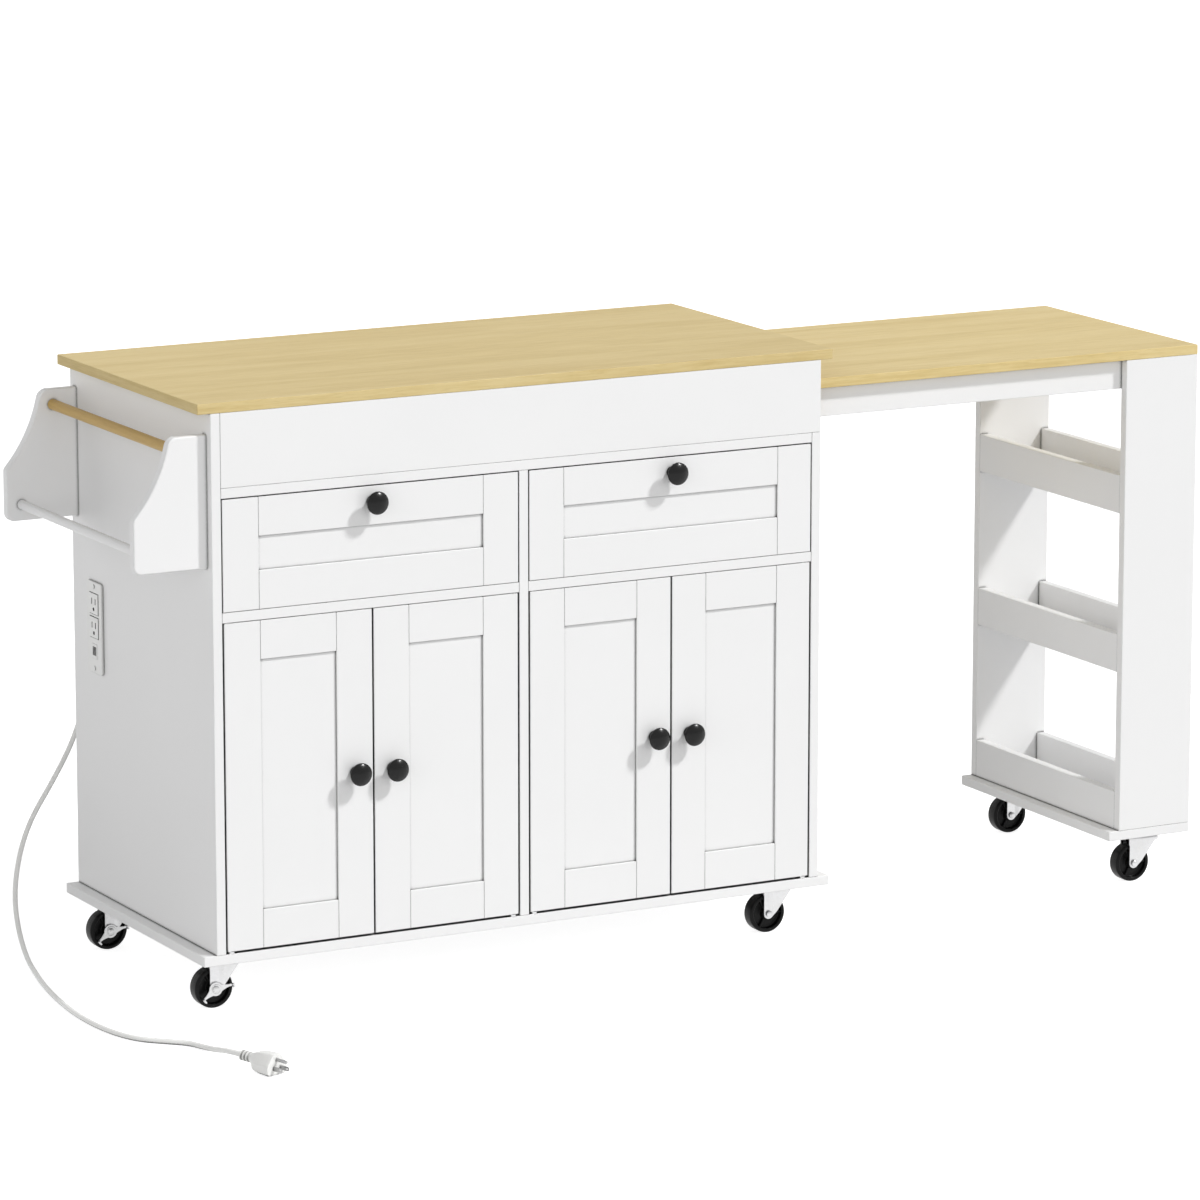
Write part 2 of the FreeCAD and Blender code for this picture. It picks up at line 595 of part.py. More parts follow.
def make_rack():
    top = TOP_UNDER - RACK_DROP
    foot = top - RACK_HEIGHT
    outer = LEFT - RACK_DEPTH
    nose = foot + RACK_NOSE
    crest = (LEFT - RACK_TOP_FLAT, top - RACK_TOP_RADIUS)
    heel = (outer + RACK_NOSE_RADIUS, nose)
    toe = (outer + RACK_FOOT_RADIUS, foot + RACK_FOOT_RADIUS)
    sweep_start = corner(crest, RACK_TOP_RADIUS, RACK_SWEEP_START)
    sweep_end = corner(heel, RACK_NOSE_RADIUS, RACK_SWEEP_END)
    chord = (sweep_end[0] - sweep_start[0], sweep_end[1] - sweep_start[1])
    length = math.hypot(*chord)
    sweep = (
        (sweep_start[0] + sweep_end[0]) / 2 - chord[1] / length * RACK_SWEEP,
        (sweep_start[1] + sweep_end[1]) / 2 + chord[0] / length * RACK_SWEEP,
    )
    outline = profile(
        (LEFT, foot), (LEFT, top), corner(crest, RACK_TOP_RADIUS, 90),
        arc(crest, RACK_TOP_RADIUS, 90, RACK_SWEEP_START),
        (sweep, sweep_end),
        arc(heel, RACK_NOSE_RADIUS, RACK_SWEEP_END, 180),
        corner(toe, RACK_FOOT_RADIUS, 180),
        arc(toe, RACK_FOOT_RADIUS, 180, 270),
    )
    front_y = FRONT + RACK_FRONT_INSET
    back_y = BACK - RACK_BACK_INSET - BOARD
    start = front_y + BOARD - RACK_BORE_DEPTH
    span = back_y + RACK_BORE_DEPTH - start
    bars = {
        "towel_bar": (TOWEL_BAR_RADIUS, LEFT - TOWEL_BAR_REACH, top - TOWEL_BAR_DROP),
        "lower_rail": (LOWER_RAIL_RADIUS, LEFT - LOWER_RAIL_REACH, foot + LOWER_RAIL_RISE),
    }
    bores = [rod(radius + RUNNING, span, (x, start, z), ALONG_Y) for radius, x, z in bars.values()]
    brackets = []
    for y in (front_y, back_y):
        bracket = outline.extrude(ALONG_Y * BOARD)
        bracket = bracket.makeFillet(RACK_ROUND, rims(bracket))
        bracket.translate(ALONG_Y * y)
        brackets.append(bracket.cut(bores))
    keep("rack_brackets", *brackets)
    for name, (radius, x, z) in bars.items():
        keep(name, rod(radius, span, (x, start, z), ALONG_Y))


# Outlet
def outlet_centre():
    return (LEFT, BACK - OUTLET_FROM_BACK, OUTLET_LEVEL)


def socket_places():
    """Middle heights of the two receptacles and of the charging block, from the top."""
    middle = outlet_centre()[2]
    return (middle + OUTLET_PITCH, middle, middle - OUTLET_PITCH)


def socket_slots(y, z, face_x):
    """Two blade slots and a round earth hole, sunk from the receptacle's face."""
    depth = (face_x, face_x + SOCKET_DEPTH)
    line = z + BLADE_RISE
    level = around(line, BLADE_SLOT[1])
    slots = [block(depth, around(y + side * BLADE_SPREAD / 2, BLADE_SLOT[0]), level) for side in (-1, 1)]
    earth = rod(EARTH_RADIUS, SOCKET_DEPTH, (face_x, y, line - EARTH_OFFSET), ALONG_X)
    return [*slots, earth]


def make_outlet():
    x, y, z = outlet_centre()
    plate_x = x - PLATE_THICKNESS
    face_x = plate_x - SOCKET_PROUD
    charge_x = plate_x - CHARGE_PROUD
    upper, lower, charge = socket_places()
    faces = [
        (face_x, HOUSING_FIT, around(y, SOCKET_FACE), around(upper, SOCKET_FACE)),
        (face_x, HOUSING_FIT, around(y, SOCKET_FACE), around(lower, SOCKET_FACE)),
        (charge_x, CHARGE_FIT, around(y, CHARGE_FACE[0]), around(charge, CHARGE_FACE[1])),
    ]
    screws = [z - OUTLET_SCREW_SPREAD / 2, z + OUTLET_SCREW_SPREAD / 2]
    plate = block((plate_x, x), around(y, PLATE_WIDTH), around(z, PLATE_HEIGHT))
    corners = [edge for edge in plate.Edges if abs(edge.tangentAt(0).dot(ALONG_X)) > 0.5]
    plate = plate.makeFillet(PLATE_ROUND, corners)
    windows = [block((plate_x, x), widened(fy, fit), widened(fz, fit)) for _, fit, fy, fz in faces]
    shank_length = PLATE_THICKNESS + SOCKET_DEPTH
    shanks = [rod(OUTLET_SCREW_RADIUS + RUNNING, shank_length, (plate_x, y, level), ALONG_X)
              for level in screws]
    keep("outlet_plate", plate.cut(windows + shanks))

    body = block((x, x + HOUSING_DEPTH), around(y, HOUSING_WIDTH), around(z, HOUSING_HEIGHT))
    tail = block((x + BOARD, x + HOUSING_DEPTH), (y, PANEL_FACE), around(z, HOUSING_HEIGHT))
    body = body.fuse([tail] + [block((front, x), fy, fz) for front, _, fy, fz in faces]).removeSplitter()
    slots = socket_slots(y, upper, face_x) + socket_slots(y, lower, face_x)
    charge_depth = (charge_x, charge_x + SOCKET_DEPTH)
    for step in range(CHARGE_COUNT):
        slot_y = y + (step - (CHARGE_COUNT - 1) / 2) * CHARGE_PITCH
        slots.append(block(charge_depth, around(slot_y, CHARGE_SLOT[0]), around(charge, CHARGE_SLOT[1])))
    solids = [body.cut(slots + shanks)]
    for level in screws:
        shank = rod(OUTLET_SCREW_RADIUS, shank_length, (plate_x, y, level), ALONG_X)
        head = rod(OUTLET_SCREW_HEAD[0], OUTLET_SCREW_HEAD[1], (plate_x, y, level), -ALONG_X)
        solids.append(shank.fuse(head))
    keep("outlet_module", *solids)


# Cord, gland and plug
def make_gland():
    centre = (LEFT + GLAND_X, BACK, GLAND_LEVEL)
    shank = rod(GLAND_SHANK, BACK_PANEL, (centre[0], PANEL_FACE, centre[2]), ALONG_Y)
    flange = rod(GLAND_FLANGE[0], GLAND_FLANGE[1], centre, ALONG_Y)
    nose_start = Vector(centre[0], BACK + GLAND_FLANGE[1], centre[2])
    nose = Part.makeCone(GLAND_NOSE[0], GLAND_NOSE[1], GLAND_NOSE[2], nose_start, ALONG_Y)
    keep("cord_gland", shank.fuse([flange, nose]))


def cord_points():
    """Nose of the gland, the end of the straight lead, and the route to the plug."""
    nose = Vector(LEFT + GLAND_X, BACK + GLAND_FLANGE[1] + GLAND_NOSE[2], GLAND_LEVEL)
    return [nose, nose + ALONG_Y * CORD_LEAD] + [Vector(LEFT + x, BACK + y, z) for x, y, z in CORD_ROUTE]


def make_cord():
    """Tube along straight runs joined by tangent arcs, each arc as large as its runs allow."""
    points = cord_points()
    edges = []
    radii = []
    here = points[0]
    for before, at, after in zip(points, points[1:], points[2:]):
        back = (before - at).normalize()
        on = (after - at).normalize()
        half_turn = (math.pi - back.getAngle(on)) / 2
        tangent = ARC_SHARE * min(before.distanceToPoint(at), at.distanceToPoint(after))
        radius = tangent / math.tan(half_turn)
        start = at + back * tangent
        end = at + on * tangent
        inward = (back + on).normalize()
        through = at + inward * (radius / math.cos(half_turn) - radius)
        edges.append(Part.LineSegment(here, start).toShape())
        edges.append(Part.Arc(start, through, end).toShape())
        radii.append(radius)
        here = end
    edges.append(Part.LineSegment(here, points[-1]).toShape())
    path = Part.Wire(edges)
    ring = Part.Circle(points[0], points[1] - points[0], CORD_RADIUS).toShape()
    tube = path.makePipeShell([Part.Wire([ring])], True, False)
    keep("power_cord", tube)
    print("cord length", round(path.Length, 1), "radii", [round(radius) for radius in radii])
    section = math.pi * CORD_RADIUS ** 2
    print("cord volume against section times length", round(tube.Volume / (section * path.Length), 4))


def section_ring(place, width, height, ridge):
    """House outline across the plug's length: broad below its middle, sloping in to a narrow top."""
    right = [(width / 2, -height / 2), (width / 2, 0), (ridge / 2, height / 2)]
    left = [(-y, z) for y, z in reversed(right)]
    points = [Vector(place, y, z) for y, z in right + left]
    return Part.makePolygon(points + points[:1])


def make_plug():
    """Plug in line with the cord's last run: ribbed neck, faceted grip, two blades and an earth pin."""
    points = cord_points()
    rotation = FreeCAD.Rotation(ALONG_X, points[-1] - points[-2])
    neck_length = PLUG_SECTIONS[0][0]
    neck = rod(PLUG_NECK_RADIUS, neck_length, (0, 0, 0), ALONG_X)
    ribs = [rod(PLUG_RIB_RADIUS, PLUG_RIB_WIDTH, (step * PLUG_RIB_PITCH, 0, 0), ALONG_X)
            for step in range(PLUG_RIB_COUNT)]
    grip = Part.makeLoft([section_ring(*section) for section in PLUG_SECTIONS], True, True)
    keep("plug_body", placed(grip.fuse([neck, *ribs]), points[-1], rotation))

    face = PLUG_SECTIONS[-1][0]
    length, thickness, height = PLUG_BLADE
    level = around(-PLUG_BLADE_DROP, height)
    earth_level = EARTH_OFFSET - PLUG_BLADE_DROP
    prongs = [block((face, face + length), around(side * BLADE_SPREAD / 2, thickness), level)
              for side in (-1, 1)]
    prongs.append(rod(PLUG_EARTH[0], PLUG_EARTH[1], (face, 0, earth_level), ALONG_X))
    keep("plug_prongs", *[placed(prong, points[-1], rotation) for prong in prongs])


# Casters
def cabinet_casters():
    columns = {"left": BASE_ENDS[0] + CASTER_INSET_X, "right": BASE_ENDS[1] - CASTER_INSET_X}
    rows = {"front": FRONT + CASTER_INSET_Y, "rear": BACK - CASTER_INSET_Y}
    return {f"{row}_{column}": (x, y) for row, y in rows.items() for column, x in columns.items()}


def tower_casters():
    x = (TOWER_LEFT + TOWER_RIGHT) / 2
    return {
        "tower_front": (x, LEAF_FRONT + TOWER_CASTER_INSET_Y),
        "tower_rear": (x, LEAF_BACK - TOWER_CASTER_INSET_Y),
    }


def caster_screw_places(x, y):
    half_x = PLATE_SIZE[0] / 2 - PLATE_HOLE_INSET
    half_y = PLATE_SIZE[1] / 2 - PLATE_HOLE_INSET
    return [(x + i * half_x, y + j * half_y) for i in (-1, 1) for j in (-1, 1)]


def caster_screw_holes(casters):
    """Pilot holes up into a base board."""
    depth = CASTER_SCREW[1] - PLATE_STEEL
    return [rod(CASTER_SCREW[0] + RUNNING, depth, (hole_x, hole_y, CASTER_HEIGHT), UP)
            for x, y in casters.values() for hole_x, hole_y in caster_screw_places(x, y)]


def fork_levels():
    """Underside of the plate, of the raceway, and of the fork's top."""
    plate = CASTER_HEIGHT - PLATE_STEEL
    raceway = plate - RACEWAY[1]
    return plate, raceway, raceway - SLIDE - FORK_STEEL


def caster_plate(x, y):
    """Steel plate with the raceway and kingpin that carry a fork, and its four screws."""
    plate_z, raceway_z, fork_z = fork_levels()
    plate = board(around(x, PLATE_SIZE[0]), around(y, PLATE_SIZE[1]), (plate_z, CASTER_HEIGHT))
    raceway = rod(RACEWAY[0], RACEWAY[1], (x, y, raceway_z), UP)
    head_z = fork_z - SLIDE - KINGPIN_HEAD[1]
    kingpin = rod(KINGPIN_RADIUS, raceway_z - head_z, (x, y, head_z), UP)
    head = rod(KINGPIN_HEAD[0], KINGPIN_HEAD[1], (x, y, head_z), UP)
    holes = []
    screws = []
    for hole_x, hole_y in caster_screw_places(x, y):
        holes.append(rod(CASTER_SCREW[0] + RUNNING, PLATE_STEEL, (hole_x, hole_y, plate_z), UP))
        shank = rod(CASTER_SCREW[0], CASTER_SCREW[1], (hole_x, hole_y, plate_z), UP)
        cap = rod(CASTER_SCREW_HEAD[0], CASTER_SCREW_HEAD[1], (hole_x, hole_y, plate_z), -UP)
        screws.append(shank.fuse(cap))
    return [plate.fuse([raceway, kingpin, head]).cut(holes), *screws]


def caster_fork(x, y, braked):
    """Bent steel fork, open under its top, and the axle rivet through its two legs."""
    fork_z = fork_levels()[-1]
    top_z = fork_z + FORK_STEEL
    axle = (x - CASTER_TRAIL, WHEEL_RADIUS)
    inner = WHEEL_WIDTH / 2 + FORK_WHEEL_GAP
    outer = inner + FORK_STEEL
    toe = corner(axle, FORK_EYE, 180)
    slope_top = (x + FORK_TOP_REACH, top_z)
    leg = profile((toe[0], top_z), toe, arc(axle, FORK_EYE, 180, FORK_SLOPE_FOOT), slope_top)
    bore = rod(AXLE_RADIUS + RUNNING, 2 * outer, (axle[0], y - outer, axle[1]), ALONG_Y)
    legs = []
    for start in (y - outer, y + inner):
        side = leg.extrude(ALONG_Y * FORK_STEEL)
        side.translate(ALONG_Y * start)
        legs.append(side.cut(bore))
    crown = block((toe[0], slope_top[0]), (y - outer, y + outer), (fork_z, top_z))
    cap = rod(RACEWAY[0], FORK_STEEL, (x, y, fork_z), UP)
    pin_hole = rod(KINGPIN_RADIUS + RUNNING, FORK_STEEL, (x, y, fork_z), UP)
    fork = crown.fuse([cap, *legs]).cut(pin_hole).removeSplitter()

    front = y - outer - (PEDAL_THICKNESS + 2 * SLIDE if braked else 0)
    back = y + outer
    rivet = rod(AXLE_RADIUS, back - front, (axle[0], front, axle[1]), ALONG_Y)
    heads = [
        rod(AXLE_HEAD[0], AXLE_HEAD[1], (axle[0], front, axle[1]), -ALONG_Y),
        rod(AXLE_HEAD[0], AXLE_HEAD[1], (axle[0], back, axle[1]), ALONG_Y),
    ]
    return [fork, rivet.fuse(heads)]


def wheel_shape():
    """Wheel about the Z axis: rounded tread, rim, thin web with ribs, and a bored hub."""
    half = WHEEL_WIDTH / 2
    tread = WHEEL_RADIUS - WHEEL_ROUND
    rim = WHEEL_RADIUS - WHEEL_RIM
    bore = AXLE_RADIUS + RUNNING
    web = WHEEL_WEB / 2
    shoulder = half - WHEEL_ROUND
    section = profile(
        (bore, -half), (WHEEL_HUB_RADIUS, -half), (WHEEL_HUB_RADIUS, -web), (rim, -web),
        (rim, -half), (tread, -half),
        arc((tread, -shoulder), WHEEL_ROUND, -90, 0), (WHEEL_RADIUS, shoulder),
        arc((tread, shoulder), WHEEL_ROUND, 0, 90),
        (rim, half), (rim, web), (WHEEL_HUB_RADIUS, web), (WHEEL_HUB_RADIUS, half), (bore, half),
    )
    ribs = []
    spoke = widened((WHEEL_HUB_RADIUS, rim), WHEEL_RIB_BITE)
    for step in range(WHEEL_RIB_COUNT):
        rib = block(spoke, around(0, WHEEL_RIB), (-shoulder, shoulder))
        rib.rotate(Vector(), UP, 360 / WHEEL_RIB_COUNT * step)
        ribs.append(rib)
    return turned(section).fuse(ribs)


def brake_pedal(x, y):
    """Rocking pedal on the axle's front end: round boss, and two pointed arms that end in lips."""
    axle = (x - CASTER_TRAIL, WHEEL_RADIUS)
    boss = (*axle, PEDAL_BOSS)
    arms = [(axle[0] + end[0], axle[1] + end[1], end[2]) for end in (PEDAL_TOE, PEDAL_HEEL)]
    outer = y - WHEEL_WIDTH / 2 - FORK_WHEEL_GAP - FORK_STEEL - SLIDE - PEDAL_THICKNESS
    lobes = []
    for arm in arms:
        lobe = tangent_hull(boss, arm).extrude(ALONG_Y * PEDAL_THICKNESS)
        lobe.translate(ALONG_Y * outer)
        lip = rod(arm[2], PEDAL_LIP + PEDAL_THICKNESS, (arm[0], outer - PEDAL_LIP, arm[1]), ALONG_Y)
        lobes += [lobe, lip]
    bore = rod(AXLE_RADIUS + RUNNING, PEDAL_THICKNESS, (axle[0], outer, axle[1]), ALONG_Y)
    return lobes[0].fuse(lobes[1:]).cut(bore).removeSplitter()


def make_casters():
    for name, casters in (("caster_plates", cabinet_casters()), ("tower_caster_plates", tower_casters())):
        keep(name, *[part for place in casters.values() for part in caster_plate(*place)])
    wheel = wheel_shape()
    across = FreeCAD.Rotation(UP, ALONG_Y)
    for name, (x, y) in {**cabinet_casters(), **tower_casters()}.items():
        braked = name.endswith("_left")
        keep(f"{name}_caster_fork", *caster_fork(x, y, braked))
        keep(f"{name}_caster_wheel", placed(wheel, (x - CASTER_TRAIL, y, WHEEL_RADIUS), across))
        if braked:
            keep(f"{name}_brake_pedal", brake_pedal(x, y))


make_carcass()
make_inner_shelves()
make_pins()
make_catches()
make_doors()
make_drawers()
make_leaf()
make_tower()
make_rack()
make_outlet()
make_gland()
make_cord()
make_plug()
make_casters()

os.makedirs("parts", exist_ok=True)
for node, solids in NODES.items():
    shape = solids[0] if len(solids) == 1 else Part.makeCompound(list(solids))
    shape.exportStep(f"parts/{node}.step")
print(len(NODES), "nodes,", sum(len(solids) for solids in NODES.values()), "solids")
print("leaf travel", round(LEAF_TRAVEL, 1))
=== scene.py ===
# %% [markdown]
# # A rolling kitchen island
# The island is flat-pack furniture: white boards, a wood-look worktop, black knobs and small
# casters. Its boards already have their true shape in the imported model, so here they only get a
# finish. The pieces with turned, pressed or moulded forms (knobs, wheels, forks, brake pedals,
# plug, gland and cord) are worked out again as smooth surfaces.

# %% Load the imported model
import json
import math

import bpy
import numpy as np
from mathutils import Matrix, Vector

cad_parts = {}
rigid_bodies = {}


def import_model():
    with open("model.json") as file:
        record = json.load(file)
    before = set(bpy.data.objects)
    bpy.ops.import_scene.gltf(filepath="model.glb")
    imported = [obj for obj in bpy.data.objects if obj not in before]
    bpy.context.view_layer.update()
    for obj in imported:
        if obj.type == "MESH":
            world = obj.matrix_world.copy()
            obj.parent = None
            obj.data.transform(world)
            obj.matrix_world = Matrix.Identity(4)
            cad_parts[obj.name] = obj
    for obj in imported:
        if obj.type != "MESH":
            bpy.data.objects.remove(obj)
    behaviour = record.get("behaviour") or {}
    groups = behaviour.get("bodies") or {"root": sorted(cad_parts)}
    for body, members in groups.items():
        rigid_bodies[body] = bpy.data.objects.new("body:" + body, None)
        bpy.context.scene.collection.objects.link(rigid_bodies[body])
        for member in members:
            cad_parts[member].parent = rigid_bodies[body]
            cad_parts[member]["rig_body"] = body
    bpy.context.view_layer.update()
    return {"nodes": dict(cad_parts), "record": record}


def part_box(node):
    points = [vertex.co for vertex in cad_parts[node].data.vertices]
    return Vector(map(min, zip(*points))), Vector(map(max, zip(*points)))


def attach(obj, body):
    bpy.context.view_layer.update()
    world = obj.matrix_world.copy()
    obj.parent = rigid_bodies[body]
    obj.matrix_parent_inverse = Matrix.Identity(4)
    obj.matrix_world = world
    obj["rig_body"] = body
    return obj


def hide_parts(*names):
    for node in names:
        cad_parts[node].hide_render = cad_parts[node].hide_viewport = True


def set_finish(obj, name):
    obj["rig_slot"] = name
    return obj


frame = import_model()
nodes = frame["nodes"]

# %% [markdown]
# ## Camera
# The picture was taken from the left and from above with a long lens, which keeps the uprights
# nearly parallel. A camera could be placed by eye. This one was fitted to corners of the boards, so
# that each edge falls where the picture has it: its place, its two angles and its focal length in
# pixels are the result.

# %% Set the camera
PHOTO_SIDE = 1200
FOCAL_PIXELS = 6260.5
CAMERA_PLACE = (-4.419, -8.205, 2.408)
LOOK_RIGHT = math.radians(28.116)
LOOK_DOWN = math.radians(11.586)
SENSOR = 36.0
FAR_CLIP = 100.0


def link(piece):
    """Puts a new object into the scene."""
    bpy.context.scene.collection.objects.link(piece)
    return piece


camera_data = bpy.data.cameras.new("camera")
camera_data.sensor_width = SENSOR
camera_data.lens = SENSOR * FOCAL_PIXELS / PHOTO_SIDE
camera_data.clip_end = FAR_CLIP
camera = link(bpy.data.objects.new("camera", camera_data))
camera.location = CAMERA_PLACE
camera.rotation_euler = (math.pi / 2 - LOOK_DOWN, 0, -LOOK_RIGHT)
bpy.context.scene.camera = camera
print("lens", round(camera_data.lens, 1), "mm")

# %% [markdown]
# ## Power cord
# A white mains lead leaves a gland in the back panel, drops to the floor in one slack curve, sweeps
# along the left end and ends in its plug. Its route is a list of points, measured in metres from
# the cabinet's left back corner on the floor, so that it stays with the cabinet.

# %% Mark the cord's route
CORD_DIAMETER = 0.008
CORD_ROUTE = np.array((
    (0.040, 0.030, 0.450), (0.040, 0.062, 0.450), (0.050, 0.088, 0.430), (0.066, 0.095, 0.397),
    (0.060, 0.096, 0.352), (0.047, 0.096, 0.315), (0.029, 0.095, 0.274), (-0.006, 0.085, 0.226),
    (-0.047, 0.070, 0.179), (-0.077, 0.047, 0.131), (-0.101, 0.011, 0.079),
    (-0.115, -0.038, 0.036), (-0.127, -0.098, 0.009), (-0.141, -0.163, 0.0041),
    (-0.157, -0.233, 0.0041), (-0.172, -0.322, 0.0041), (-0.180, -0.420, 0.0041),
    (-0.174, -0.506, 0.0041), (-0.156, -0.562, 0.0041), (-0.126, -0.592, 0.0041),
    (-0.098, -0.617, 0.0041), (-0.089, -0.649, 0.0047), (-0.086, -0.684, 0.009),
    (-0.084, -0.717, 0.0159), (-0.075, -0.746, 0.0159),
))
panel_low, panel_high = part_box("left_side_panel")
cabinet_corner = np.array((panel_low.x, panel_high.y, 0.0))
cord_points = cabinet_corner + CORD_ROUTE
print("route of", len(cord_points), "points to", np.round(cord_points[-1], 3).tolist())

# %% [markdown]
# The cord is a NURBS curve: the route's points are its control points, and an order of 3 rounds
# them off the way a stiffish lead lies. A tube of faces would do too, but a curve stays smooth and
# is easy to change. Each point's radius is half the cord's thickness, and the bevel is a circle of
# radius 1 that is scaled by it. Like every new piece, the cord stands for a node of the packed
# model: it rides on the node's body, hides the node and names the slot that its finish comes from.

# %% Lay the cord
CORD_ORDER = 3
CORD_STEPS, CORD_ROUNDNESS = 14, 7


def stand_in(piece, node, slot):
    """Lets a new piece move with its node's body, hide the node and take a slot's finish."""
    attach(piece, nodes[node]["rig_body"])
    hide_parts(node)
    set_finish(piece, slot)
    return piece


def cord_curve(name, points, diameter):
    """Round cord whose centreline is a NURBS curve with the points as its control points."""
    curve = bpy.data.curves.new(name, "CURVE")
    curve.dimensions = "3D"
    spline = curve.splines.new("NURBS")
    spline.points.add(len(points) - 1)
    spline.points.foreach_set("co", np.column_stack((points, np.ones(len(points)))).ravel())
    spline.points.foreach_set("radius", np.full(len(points), diameter / 2))
    spline.order_u = CORD_ORDER
    spline.use_endpoint_u = True
    spline.resolution_u = CORD_STEPS
    curve.bevel_depth = 1.0
    curve.bevel_resolution = CORD_ROUNDNESS
    curve.use_fill_caps = True
    return link(bpy.data.objects.new(name, curve))


cord = stand_in(cord_curve("mains_cord", cord_points, CORD_DIAMETER), "power_cord", "cord_sheath")

# %% [markdown]
# ## Numpy surfaces
# The other new pieces are grids of points: one parameter runs along an outline, the other round an
# axis or along the piece. A grid is computed as whole arrays and handed to Blender in one go, which
# is quicker than adding points one by one. First comes a way to round the corners of an outline,
# since no real edge is perfectly sharp.

# %% Ease an outline's corners
def eased(corners, ease, steps=5):
    """Outline with its inner corners rounded: near a corner it follows the parabola that leaves one
    run `ease` before the corner and joins the next run `ease` after it. The first and last points
    stay. The last two axes are the points and their coordinates, any before them are outlines."""
    corners = np.asarray(corners, float)
    ease = np.broadcast_to(ease, corners.shape[-2] - 2)[:, None]
    before, at, after = corners[..., :-2, :], corners[..., 1:-1, :], corners[..., 2:, :]
    start = at + (before - at) / np.linalg.norm(before - at, axis=-1, keepdims=True) * ease
    end = at + (after - at) / np.linalg.norm(after - at, axis=-1, keepdims=True) * ease
    start, at, end = (points[..., None, :] for points in (start, at, end))
    t = np.linspace(0, 1, steps)[:, None]
    bends = (1 - t) ** 2 * start + 2 * t * (1 - t) * at + t ** 2 * end
    bends = bends.reshape(*corners.shape[:-2], -1, corners.shape[-1])
    return np.concatenate((corners[..., :1, :], bends, corners[..., -1:, :]), axis=-2)


print("a corner is eased by", len(eased(((0, 0), (1, 0), (1, 1)), 0.2)) - 2, "points")

# %% [markdown]
# A grid's points are joined into faces by their numbers: each point with its neighbour in the ring
# and with the two above them. A row of points that ends in the open is closed by a fan of triangles
# to its middle, so that every piece is a closed skin.

# %% Join a grid's points into faces
def grid_faces(rows, columns, closed_rows=False):
    """Quads of a grid of points whose columns close into rings, and whose rows may close too."""
    index = np.arange(rows * columns).reshape(rows, columns)
    if closed_rows:
        index = np.vstack((index, index[:1]))
    beside = np.roll(index, -1, axis=1)
    return np.stack((index[:-1], beside[:-1], beside[1:], index[1:]), axis=-1).reshape(-1, 4)


def fan(ring, tip):
    """Triangles that close a ring of point numbers to one point."""
    return np.column_stack((ring, np.roll(ring, -1), np.full(len(ring), tip)))


def capped_grid(points):
    """Points and faces of a grid (rows, columns, 3) of rings, closed at both ends by a fan to the
    ring's middle."""
    rows, columns, _ = points.shape
    middles = points[[0, -1]].mean(axis=1)
    count = rows * columns
    first = np.arange(columns)
    last = first + count - columns
    faces = [grid_faces(rows, columns), fan(first[::-1], count), fan(last, count + 1)]
    return np.vstack((points.reshape(-1, 3), middles)), faces


print("4 rings of 6 points make", len(grid_faces(4, 6)), "faces")

# %% [markdown]
# Blender takes the side that a face's points run round anticlockwise as its outside. The volume
# that the faces enclose tells whether a shell is the right way out, because it comes out negative
# if not. Shading is smooth except across sharp edges, as on a real moulding.

# %% Put faces into a mesh
SMOOTH_ANGLE = 40.0


def outward(points, faces):
    """The same faces, reversed if the volume they enclose is negative. It is the sum of tetrahedra
    from the faces' triangles to one point, a sixth of a . (b x c) each."""
    volume = 0.0
    spread = points - points.mean(axis=0)
    for block in faces:
        for step in range(1, block.shape[1] - 1):
            a, b, c = (spread[block[:, k]] for k in (0, step, step + 1))
            volume += np.einsum("ij,ij->", a, np.cross(b, c)) / 6
    return faces if volume > 0 else [block[:, ::-1] for block in faces]


def put_mesh(name, *shells, smooth_angle=SMOOTH_ANGLE):
    """Mesh object at the origin from closed shells of points and faces, each turned outwards, and
    shaded smooth except across edges sharper than an angle in degrees."""
    points = np.vstack([shell_points for shell_points, _ in shells])
    offsets = np.cumsum([0] + [len(shell_points) for shell_points, _ in shells])
    listed = [face
              for (shell_points, faces), offset in zip(shells, offsets)
              for block in outward(shell_points, faces)
              for face in (block + offset).tolist()]
    mesh = bpy.data.meshes.new(name)
    mesh.from_pydata(points.tolist(), [], listed)
    mesh.shade_smooth()
    mesh.set_sharp_from_angle(angle=math.radians(smooth_angle))
    return link(bpy.data.objects.new(name, mesh))


print("edges over", SMOOTH_ANGLE, "degrees stay sharp")

# %% [markdown]
# Round pieces are turned as on a lathe: an outline of radius and height goes round the Z axis. The
# Spin tool could do that by hand. In numpy it is two outer products, and the result is then laid
# along the axis that the piece has on the island.

# %% Turn an outline on a lathe
def turned(profile, sides):
    """Surface of revolution about Z: the outline's point (r, h) at the angle a lies at
    (r cos a, r sin a, h)."""
    angle = np.linspace(0, 2 * np.pi, sides, endpoint=False)
    radius, height = profile.T
    return np.stack((
        np.outer(radius, np.cos(angle)),
        np.outer(radius, np.sin(angle)),
        np.repeat(height[:, None], sides, axis=1),
    ), axis=-1)


def lathe_shell(outline, sides):
    """Closed turned shell: an outline that starts and ends on the axis, with those ends taken in to
    one point."""
    return capped_grid(turned(outline[1:-1], sides))


def facing_front(points, place):
    """Points turned so that +Z becomes -Y, the way out of a front, and moved to a place."""
    x, y, z = points.reshape(-1, 3).T
    return np.column_stack((x, -z, y)) + place


def middle_of(node):
    """Middle of a node's box."""
    low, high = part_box(node)
    return (np.array(low) + np.array(high)) / 2


print("the worktop's middle is at", np.round(middle_of("worktop"), 3).tolist())

# %% [markdown]
# ## Knobs
# Each front has a satin black mushroom knob, turned on a lathe: a foot, a waisted neck, a flared
# head and a low dome. A lathe outline is the natural way to make it. The screw that holds it from
# behind is turned as well, so that an open door shows its head.

